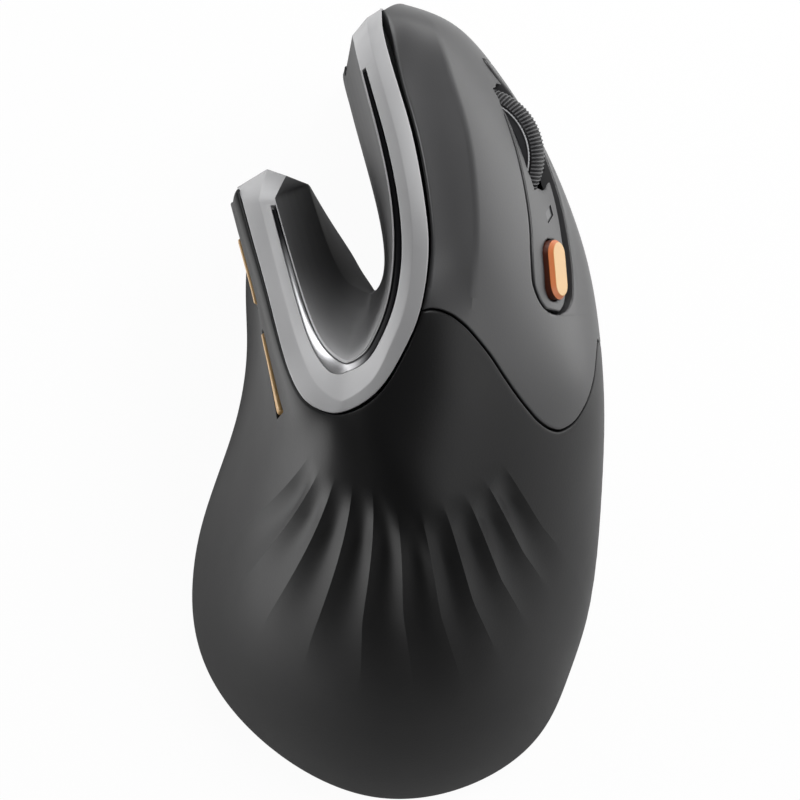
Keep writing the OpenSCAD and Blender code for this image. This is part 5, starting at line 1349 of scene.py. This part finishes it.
class MouseSizes(bpy.types.PropertyGroup):
    """Sizes of what the covers add to the solids"""

    pleat_depth: length_prop("Pleat depth", "Depth of the palm's scallops", 0.0011, 0, 0.002)
    side_rise: length_prop("Side buttons", "Height of the side buttons' top edge", 0.0007, 0, 0.0012)
    resolution_rise: length_prop("Resolution button", "Height of its cap", 0.001, 0.0006, 0.0014)
    rib_radius: length_prop("Rib radius", "Half the thickness of a tread's rib", 0.00014, 0.00005, 0.0002)
    tread_ribs: bpy.props.IntProperty(name="Tread ribs", description="Ribs round the scroll wheel", default=104,
        min=20, max=120)


class MouseFinish(bpy.types.PropertyGroup):
    """Colours of the finishes"""

    shell: colour_prop("Shell", "Colour of the soft-touch shell", (0.006, 0.006, 0.0063))
    panel: colour_prop("Finger panel", "Colour of the finger panel and keys", (0.02, 0.02, 0.021))
    trim: colour_prop("Trim", "Colour of the fork trim", (0.3, 0.3, 0.305))
    accent: colour_prop("Accent", "Colour of the gloss inlay", (0.006, 0.006, 0.007))
    rubber: colour_prop("Rubber", "Colour of the wheel's tread", (0.006, 0.006, 0.0065))
    orange: colour_prop("Orange", "Colour of the buttons", (0.46, 0.28, 0.11))


class MouseStage(bpy.types.PropertyGroup):
    """Floor and lights"""

    floor: colour_prop("Floor", "Colour of the floor", (0.8, 0.8, 0.8))
    whiteness: share_prop("Whiteness", "Share of the floor's look that is plain white", 0.96)
    mirrored: share_prop("Floor in reflections", "Brightness of the floor in reflections", 0.3)
    room: share_prop("Room light", "Strength of the even light", 0.08)
    top: power_prop("Top light", "Power of the light from above", 1.55)
    front: power_prop("Front light", "Power of the light from the front", 1.8)
    right: power_prop("Right light", "Power of the low light on the finger side", 0.55)
    left: power_prop("Left light", "Power of the low light on the thumb side", 1.0)


class MOUSE_OT_cad_finishes(bpy.types.Operator):
    """Gives every carried-over solid its finish"""

    bl_idname = "mouse.cad_finishes"
    bl_label = "Finish the solids"

    def execute(self, context):
        dress_cad_nodes()
        return {"FINISHED"}


class MOUSE_OT_shell(bpy.types.Operator):
    """Makes the palm and thumb shell with its pleated fan"""

    bl_idname = "mouse.shell"
    bl_label = "Shell"

    def execute(self, context):
        make_shell()
        return {"FINISHED"}


class MOUSE_OT_finger_panel(bpy.types.Operator):
    """Makes the finger plate, both keys and the centre strip"""

    bl_idname = "mouse.finger_panel"
    bl_label = "Finger panel"

    def execute(self, context):
        make_finger_panel()
        return {"FINISHED"}


class MOUSE_OT_trim(bpy.types.Operator):
    """Makes the fork trim with both noses"""

    bl_idname = "mouse.trim"
    bl_label = "Fork trim"

    def execute(self, context):
        make_trim()
        return {"FINISHED"}


class MOUSE_OT_accent(bpy.types.Operator):
    """Makes the gloss inlay in the trim's groove"""

    bl_idname = "mouse.accent"
    bl_label = "Accent inlay"

    def execute(self, context):
        make_accent()
        return {"FINISHED"}


class MOUSE_OT_slot_liner(bpy.types.Operator):
    """Makes the dark rail under the slot beside the key"""

    bl_idname = "mouse.slot_liner"
    bl_label = "Slot liner"

    def execute(self, context):
        make_slot_liner()
        return {"FINISHED"}


class MOUSE_OT_side_buttons(bpy.types.Operator):
    """Makes the forward and back buttons"""

    bl_idname = "mouse.side_buttons"
    bl_label = "Side buttons"

    def execute(self, context):
        make_side_buttons()
        return {"FINISHED"}


class MOUSE_OT_dpi_button(bpy.types.Operator):
    """Makes the resolution button"""

    bl_idname = "mouse.dpi_button"
    bl_label = "Resolution button"

    def execute(self, context):
        make_dpi_button()
        return {"FINISHED"}


class MOUSE_OT_wheel(bpy.types.Operator):
    """Makes the wheel's tread, ribs and rims"""

    bl_idname = "mouse.wheel"
    bl_label = "Scroll wheel"

    def execute(self, context):
        make_wheel()
        return {"FINISHED"}


class MOUSE_OT_stage(bpy.types.Operator):
    """Makes the floor, the lights and the camera"""

    bl_idname = "mouse.stage"
    bl_label = "Stage"

    def execute(self, context):
        make_stage()
        return {"FINISHED"}


OPERATORS = [MOUSE_OT_cad_finishes, MOUSE_OT_shell, MOUSE_OT_finger_panel, MOUSE_OT_trim, MOUSE_OT_accent,
    MOUSE_OT_slot_liner, MOUSE_OT_side_buttons, MOUSE_OT_dpi_button, MOUSE_OT_wheel, MOUSE_OT_stage]


class MOUSE_PT_panel(bpy.types.Panel):
    """Lists the mouse's sizes, finishes and pieces"""

    bl_idname = "MOUSE_PT_panel"
    bl_label = "Upright mouse"
    bl_space_type = "VIEW_3D"
    bl_region_type = "UI"
    bl_category = "Upright mouse"

    def draw(self, context):
        scene = context.scene
        for group in (scene.mouse_sizes, scene.mouse_finish, scene.mouse_stage):
            for name in group.__annotations__:
                self.layout.prop(group, name)
        for op in OPERATORS:
            self.layout.operator(op.bl_idname)


CLASSES = [MouseSizes, MouseFinish, MouseStage, *OPERATORS, MOUSE_PT_panel]


def register():
    for cls in CLASSES:
        bpy.utils.register_class(cls)
    bpy.types.Scene.mouse_sizes = bpy.props.PointerProperty(type=MouseSizes)
    bpy.types.Scene.mouse_finish = bpy.props.PointerProperty(type=MouseFinish)
    bpy.types.Scene.mouse_stage = bpy.props.PointerProperty(type=MouseStage)


def unregister():
    del bpy.types.Scene.mouse_stage, bpy.types.Scene.mouse_finish, bpy.types.Scene.mouse_sizes
    for cls in reversed(CLASSES):
        bpy.utils.unregister_class(cls)


def main():
    register()
    bpy.ops.mouse.cad_finishes()
    bpy.ops.mouse.shell()
    bpy.ops.mouse.finger_panel()
    bpy.ops.mouse.trim()
    bpy.ops.mouse.accent()
    bpy.ops.mouse.slot_liner()
    bpy.ops.mouse.side_buttons()
    bpy.ops.mouse.dpi_button()
    bpy.ops.mouse.wheel()
    bpy.ops.mouse.stage()


if __name__ == "__main__":
    main()
